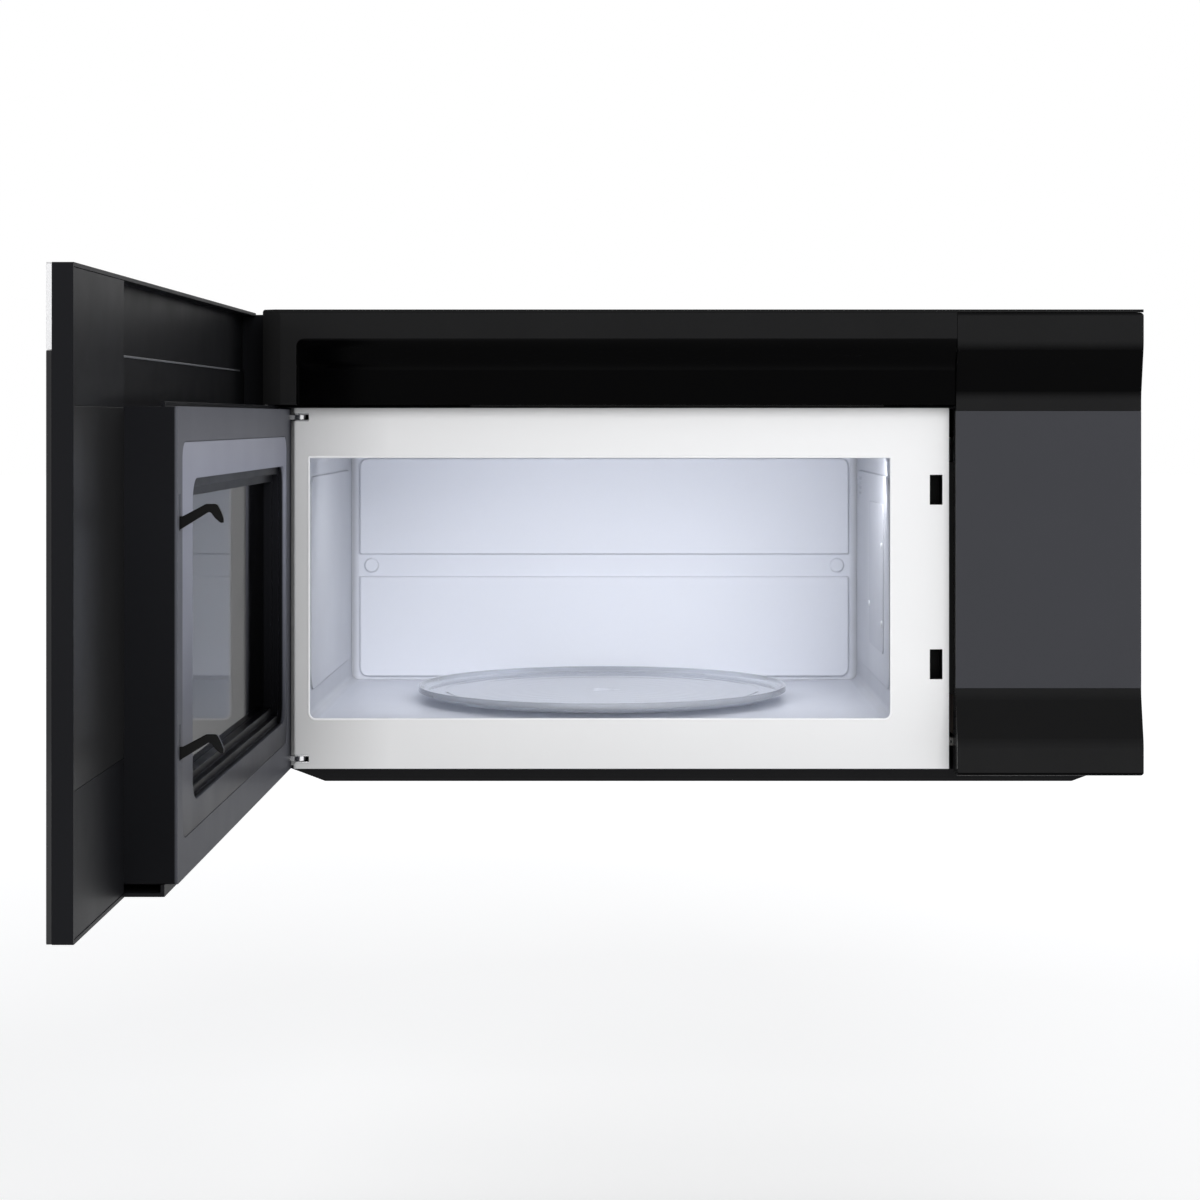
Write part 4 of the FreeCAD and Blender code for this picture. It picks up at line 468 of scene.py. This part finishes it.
def dress():
    """Gives every CAD node the material of the slot its record names."""
    for row in frame["record"]["subparts"]:
        obj = frame["nodes"].get(row["node"])
        if obj is None:
            continue
        material = OWN_MATERIALS.get(row["node"], MATERIALS[row["material_slot"]])
        if not obj.material_slots:
            obj.data.materials.append(material)
        for place in obj.material_slots:
            place.material = material


# --------------------------------------------------------------------------------------
# mesh helpers
# --------------------------------------------------------------------------------------
def piece(name, mesh, body, slot, nodes=(), material=None):
    obj = bpy.data.objects.new(name, mesh)
    bpy.context.scene.collection.objects.link(obj)
    mesh.materials.append(material or MATERIALS[slot])
    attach(obj, body)
    if nodes:
        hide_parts(*nodes)
    return obj


def finished(bm, name, smooth_angle=40):
    bmesh.ops.recalc_face_normals(bm, faces=bm.faces[:])
    mesh = bpy.data.meshes.new(name)
    bm.to_mesh(mesh)
    bm.free()
    for face in mesh.polygons:
        face.use_smooth = True
    mesh.set_sharp_from_angle(angle=math.radians(smooth_angle))
    return mesh


def rounded_outline(low_u, high_u, low_v, high_v, low_round, steps=6, high_round=None):
    """A rectangle with round corners; the two upper ones may have their own radius."""
    top = low_round if high_round is None else high_round
    corners = ((high_u - top, high_v - top, top, 0),
               (low_u + top, high_v - top, top, 90),
               (low_u + low_round, low_v + low_round, low_round, 180),
               (high_u - low_round, low_v + low_round, low_round, 270))
    points = []
    for u, v, radius, start in corners:
        for step in range(steps + 1):
            turn = math.radians(start + 90 * step / steps)
            points.append((u + radius * math.cos(turn), v + radius * math.sin(turn)))
    return points


def bridge(bm, rings, closed=False):
    """Joins each ring of points to the next one, and if closed the last to the first."""
    for here, there in zip(rings, rings[1:] + (rings[:1] if closed else [])):
        for n in range(len(here)):
            m = (n + 1) % len(here)
            bm.faces.new((here[n], here[m], there[m], there[n]))


def ring_of(bm, centre, first, second, sides):
    """A ring of points around a centre; first and second are its two half axes."""
    turns = [2 * math.pi * side / sides for side in range(sides)]
    return [bm.verts.new(centre + first * math.cos(turn) + second * math.sin(turn))
            for turn in turns]


def closed_bar(bm, path, half_width, up):
    """A bar of oval section along a closed flat path; up is its half height, as a vector
    square to the path."""
    rings = []
    for n, point in enumerate(path):
        along = path[(n + 1) % len(path)] - path[n - 1]
        rings.append(ring_of(bm, point, along.cross(up).normalized() * half_width, up, 8))
    bridge(bm, rings, closed=True)


# --------------------------------------------------------------------------------------
# pieces on the door
# --------------------------------------------------------------------------------------
FRONT = -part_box("door_glass")[0].x - 0.35 * MM      # face of the pane, out from the origin
PRINT_DEPTH = 0.12 * MM                             # how far a print stands on the pane
RAIL_FACE = 0.4017
KEY_U, KEY_V = 1.0150, -0.0450                      # middle of the digit keys
KEY_PITCH_U, KEY_PITCH_V = 0.0270, 0.0260
DIGIT_SIZE = 0.0125
BAR_ROWS = (3.6, 2.6, -2.4)                         # plain bars, in key pitches above KEY_V
BAR_HALF_U, BAR_HALF_V, BAR_ROUND = 0.0075, 0.0009, 0.0008


def on_door(u, v, height):
    """Door front: u runs to the free edge, v up, height out of the door's front face."""
    return Vector((-height, -u, v))


def slab(bm, outline, face, depth):
    """A flat piece of the given outline, lying in the door's plane."""
    top = [bm.verts.new(on_door(u, v, face)) for u, v in outline]
    low = [bm.verts.new(on_door(u, v, face - depth)) for u, v in outline]
    bm.faces.new(top)
    bm.faces.new(low[::-1])
    bridge(bm, [low, top])


def spot(bm, outline):
    """A flat patch of the given outline on the face of the pane."""
    bm.faces.new([bm.verts.new(on_door(u, v, FRONT)) for u, v in outline])


def patch(bm, u, v, half_u, half_v, radius):
    """A small rounded patch on the face of the pane, around (u, v)."""
    spot(bm, rounded_outline(u - half_u, u + half_u, v - half_v, v + half_v, radius, 3))


def printed(bm, name, material):
    """Thickens flat patches on the pane and makes them a piece of the door."""
    solid = bmesh.ops.extrude_face_region(bm, geom=bm.faces[:])
    moved = [v for v in solid["geom"] if isinstance(v, bmesh.types.BMVert)]
    bmesh.ops.translate(bm, verts=moved, vec=(-PRINT_DEPTH, 0, 0))
    piece(name, finished(bm, name), "door", "door_glass", material=material)


def door_pane():
    """The front glass, a little smaller than its place in the door."""
    low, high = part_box("door_glass")
    bm = bmesh.new()
    outline = rounded_outline(-high.y + 0.2 * MM, -low.y - 0.2 * MM,
                              low.z + 0.2 * MM, high.z - 0.1 * MM, 1.5 * MM)
    slab(bm, outline, FRONT, FRONT + high.x)
    piece("door_pane", finished(bm, "door_pane"), "door", "door_glass", ["door_glass"])


def letters(body, size):
    """The flat faces of a short text, centred, as a mesh."""
    curve = bpy.data.curves.new("text", "FONT")
    curve.body = body
    curve.size = size
    curve.align_x = "CENTER"
    curve.align_y = "CENTER"
    curve.resolution_u = 3
    holder = bpy.data.objects.new("text", curve)
    bpy.context.scene.collection.objects.link(holder)
    bpy.context.view_layer.update()
    mesh = bpy.data.meshes.new_from_object(holder)
    bpy.data.objects.remove(holder)
    bpy.data.curves.remove(curve)
    return mesh


def key_prints():
    """Numbers 0 to 9 in three columns, with two rows of plain bars above and one below."""
    bm = bmesh.new()
    for n in range(10):
        column, row = (n % 3, n // 3) if n < 9 else (1, 3)
        mesh = letters(str((n + 1) % 10), DIGIT_SIZE)
        mesh.transform(Matrix.Translation((KEY_U + (column - 1) * KEY_PITCH_U,
                                           KEY_V + (1.5 - row) * KEY_PITCH_V, FRONT)))
        for vertex in mesh.vertices:
            vertex.co = on_door(*vertex.co)
        bm.from_mesh(mesh)
    for column in range(3):
        for rise in BAR_ROWS:
            patch(bm, KEY_U + (column - 1) * KEY_PITCH_U, KEY_V + rise * KEY_PITCH_V,
                  BAR_HALF_U, BAR_HALF_V, BAR_ROUND)
    ink = surface("key_ink", (0.62, 0.63, 0.65), 0.5, 0.05, grain=2000.0)
    printed(bm, "key_prints", ink)


SEGMENTS = {"0": "abcdef", "1": "bc", "2": "abged", "3": "abgcd"}
STROKES = {"a": (0, 1, 1, 1), "b": (1, 1, 1, 0), "c": (1, 0, 1, -1), "d": (0, -1, 1, -1),
           "e": (0, 0, 0, -1), "f": (0, 1, 0, 0), "g": (0, 0, 1, 0)}
CLOCK = (("1", -0.0235), ("2", -0.0125), ("3", 0.0045), ("0", 0.0155))
STROKE_U, STROKE_V, STROKE_HALF, STROKE_GAP = 0.0068, 0.0062, 0.0007, 0.0006
DOT_U, DOT_V, DOT_HALF, DOT_ROUND = 0.0003, 0.0026, 0.0008, 0.0007


def display_digits():
    """The clock: four seven segment digits and a colon."""
    bm = bmesh.new()
    low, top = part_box("display_module")
    middle_v = (low.z + top.z) / 2
    for character, left in CLOCK:
        for key in SEGMENTS[character]:
            u0, v0, u1, v1 = STROKES[key]
            start = Vector((left + u0 * STROKE_U, middle_v + v0 * STROKE_V, 0))
            end = Vector((left + u1 * STROKE_U, middle_v + v1 * STROKE_V, 0))
            along = (end - start).normalized()
            side = Vector((-along.y, along.x, 0)) * STROKE_HALF
            start, end = start + along * STROKE_GAP, end - along * STROKE_GAP
            slope = along * STROKE_HALF
            corners = [start, start + slope + side, end - slope + side,
                       end, end - slope - side, start + slope - side]
            spot(bm, [(KEY_U + point.x, point.y) for point in corners])
    for v in (middle_v - DOT_V, middle_v + DOT_V):
        patch(bm, KEY_U + DOT_U, v, DOT_HALF, DOT_HALF, DOT_ROUND)
    printed(bm, "display_digits", glowing("display_glow", (0.35, 0.85, 1.0), 1.2))


def rail_lip():
    """The folded lip along the rail above the inner door, grey on the black rail: a painted
    highlight of the lip's edge catching light.
    """
    bm = bmesh.new()
    slab(bm, rounded_outline(0.3740, 0.9120, 0.1555, 0.1568, 0.6 * MM, 3),
         RAIL_FACE + 0.4 * MM, 1.0 * MM)
    # painted highlight: light grey where the lip's edge catches light
    lip = surface("lip_painted_highlight", (0.16, 0.165, 0.18), 0.3, 0.05, specular=0.3, grain=1200.0)
    piece("rail_lip", finished(bm, "rail_lip"), "door", "door_shell", material=lip)


COIL_TURNS, COIL_STEPS, COIL_WIRE = 16, 18, 0.45 * MM


def latch_coil():
    """The coil spring over the latch bar."""
    low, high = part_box("latch_spring")
    radius = (high.x - low.x) / 2 - COIL_WIRE
    count = COIL_TURNS * COIL_STEPS
    bm = bmesh.new()
    rings = []
    for n in range(count + 1):
        turn = 2 * math.pi * n / COIL_STEPS
        out = Vector((math.cos(turn), math.sin(turn), 0))
        rise = low.z + COIL_WIRE + (high.z - low.z - 2 * COIL_WIRE) * n / count
        centre = Vector(((low.x + high.x) / 2, (low.y + high.y) / 2, rise)) + out * radius
        rings.append(ring_of(bm, centre, out * COIL_WIRE, Vector((0, 0, COIL_WIRE)), 6))
    bridge(bm, rings)
    bm.faces.new(rings[0][::-1])
    bm.faces.new(rings[-1])
    coil = piece("latch_coil", finished(bm, "latch_coil", 80), "door", "bright_steel",
                 ["latch_spring"])
    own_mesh(coil)


# --------------------------------------------------------------------------------------
# pieces on the cabinet
# --------------------------------------------------------------------------------------
MOUTH = (-0.3400, 0.1660, -0.1470, 0.0810)          # left, right, bottom, top
MOUTH_Y = -0.3818


def mouth_bead():
    """The rolled bead that finishes the mouth of the oven, a little whiter than the frame as a
    painted highlight of its rolled edge.
    """
    bm = bmesh.new()
    outline = rounded_outline(*MOUTH, 6.0 * MM, high_round=1.2 * MM)
    closed_bar(bm, [Vector((u, MOUTH_Y, v)) for u, v in outline], 1.0 * MM,
               Vector((0, 0.8 * MM, 0)))
    # painted highlight: a little whiter than the frame's enamel
    bead = enamel("bead_painted_highlight", (0.93, 0.93, 0.94), 0.18, 0.3 * MM, 0.005)
    piece("mouth_bead", finished(bm, "mouth_bead", 80), "cabinet", "frame_white", material=bead)


STUD_RADIUS, STUD_HEIGHT, STUD_FOOT = 2.8 * MM, 1.4 * MM, 0.4 * MM


def stud(bm, centre):
    """A small domed button standing out to the left of a face, its foot sunk into it."""
    axis = Vector((-1, 0, 0))
    first = axis.orthogonal().normalized()
    second = axis.cross(first)
    profile = ((1.0, -STUD_FOOT), (1.0, STUD_HEIGHT * 0.65), (0.82, STUD_HEIGHT * 0.92),
               (0.4, STUD_HEIGHT))
    rings = [ring_of(bm, Vector(centre) + axis * up, first * STUD_RADIUS * share,
                     second * STUD_RADIUS * share, 20) for share, up in profile]
    bridge(bm, rings)
    bm.faces.new(rings[-1])
    bm.faces.new(rings[0][::-1])


def cover_studs():
    """Three small studs that hold the waveguide cover, two in front and one at the rear."""
    low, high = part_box("waveguide_cover")
    middle = (low.z + high.z) / 2
    front, rear = low.y + 7 * MM, high.y - 7 * MM
    bm = bmesh.new()
    for y, rise in ((front, 30 * MM), (rear, -30 * MM), (front, -40 * MM)):
        stud(bm, (low.x, y, middle + rise))
    piece("cover_studs", finished(bm, "cover_studs"), "cabinet", "ring_plastic")


TAB_HALF, TAB_NEAR, TAB_FAR, TAB_ROUND = 16 * MM, 12 * MM, 27 * MM, 7 * MM


def filter_tabs():
    """The pull loop on each grease filter."""
    for name in ("grease_filter_left", "grease_filter_right"):
        low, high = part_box(name)
        middle = (low.x + high.x) / 2
        outline = rounded_outline(middle - TAB_HALF, middle + TAB_HALF,
                                  low.y + TAB_NEAR, low.y + TAB_FAR, TAB_ROUND)
        bm = bmesh.new()
        closed_bar(bm, [Vector((u, v, low.z - 0.1 * MM)) for u, v in outline], 1.0 * MM,
                   Vector((0, 0, 0.8 * MM)))
        piece(name.replace("grease_filter", "filter_tab"), finished(bm, name, 80), "cabinet",
              "bright_steel")


# --------------------------------------------------------------------------------------
# stage and light
# --------------------------------------------------------------------------------------
WORLD_LIGHT = 0.55
FLOOR_Z = -0.60
GLOW_NEAR, GLOW_FAR = 0.33, 0.62    # glow of the floor, which lifts it to white away from
GLOW_START, GLOW_END = 0.8, 3.5     # the object; distances from the middle of the floor


def backdrop():
    """White to camera, glossy and transmission rays, and plain soft light to the rest."""
    world = bpy.data.worlds.new("world")
    bpy.context.scene.world = world
    world.use_nodes = True
    make = Nodes(world.node_tree, "ShaderNodeOutputWorld")
    mixed = make.add("ShaderNodeMixShader")
    make.link(make.seen(), mixed.inputs[0])
    shades = (((0.97, 0.98, 1.0, 1), WORLD_LIGHT), ((1, 1, 1, 1), 1.0))
    for place, (colour, strength) in zip(mixed.inputs[1:], shades):
        light = make.add("ShaderNodeBackground")
        light.inputs["Color"].default_value = colour
        light.inputs["Strength"].default_value = strength
        make.link(light.outputs[0], place)
    make.link(mixed.outputs[0], make.out.inputs["Surface"])


def floor():
    bm = bmesh.new()
    bmesh.ops.create_grid(bm, x_segments=8, y_segments=8, size=30.0)
    mesh = bpy.data.meshes.new("floor")
    bm.to_mesh(mesh)
    bm.free()
    obj = bpy.data.objects.new("floor", mesh)
    obj.location = (0, 0, FLOOR_Z)
    bpy.context.scene.collection.objects.link(obj)
    make = Shader("floor")
    diffuse = make.add("ShaderNodeBsdfDiffuse")
    grey = make.blend(make.noise(3.0, 2.0), (0.78, 0.78, 0.78, 1), (0.80, 0.80, 0.80, 1))
    make.link(grey, diffuse.inputs["Color"])
    away = make.add("ShaderNodeVectorMath", operation="LENGTH")
    make.link(make.point, away.inputs[0])
    strength = make.spread(away.outputs["Value"], GLOW_NEAR, GLOW_FAR, GLOW_START, GLOW_END)
    glow = make.add("ShaderNodeEmission")
    make.link(make.math("MULTIPLY", make.seen(), strength), glow.inputs["Strength"])
    total = make.add("ShaderNodeAddShader")
    make.link(diffuse.outputs[0], total.inputs[0])
    make.link(glow.outputs[0], total.inputs[1])
    make.link(total.outputs[0], make.out.inputs["Surface"])
    mesh.materials.append(make.material)


def lamp(name, place, aim, size, power, seen_in_gloss=True):
    data = bpy.data.lights.new(name, "AREA")
    data.shape = "RECTANGLE"
    data.size, data.size_y = size
    data.energy = power
    obj = bpy.data.objects.new(name, data)
    obj.location = place
    obj.rotation_euler = (Vector(aim) - Vector(place)).to_track_quat("-Z", "Y").to_euler()
    obj.visible_camera = False
    obj.visible_glossy = seen_in_gloss
    obj.visible_transmission = False
    bpy.context.scene.collection.objects.link(obj)


def lights():
    lamp("key", (0.7, -3.6, 1.2), (0, -0.4, 0), (1.8, 1.8), 58, seen_in_gloss=False)
    lamp("fill", (-1.8, -3.4, 0.9), (0, -0.4, 0), (1.6, 1.6), 12)
    lamp("back", (0.3, 1.6, 1.8), (0, -0.3, 0), (2.4, 1.2), 18)
    lamp("oven", (-0.040, -0.330, 0.060), (-0.040, -0.020, -0.100), (0.48, 0.05), 0.53,
         seen_in_gloss=False)


bpy.context.scene.view_settings.view_transform = "Standard"
camera()
backdrop()
floor()
lights()
dress()
door_pane()
key_prints()
display_digits()
rail_lip()
mouth_bead()
cover_studs()
filter_tabs()
latch_coil()
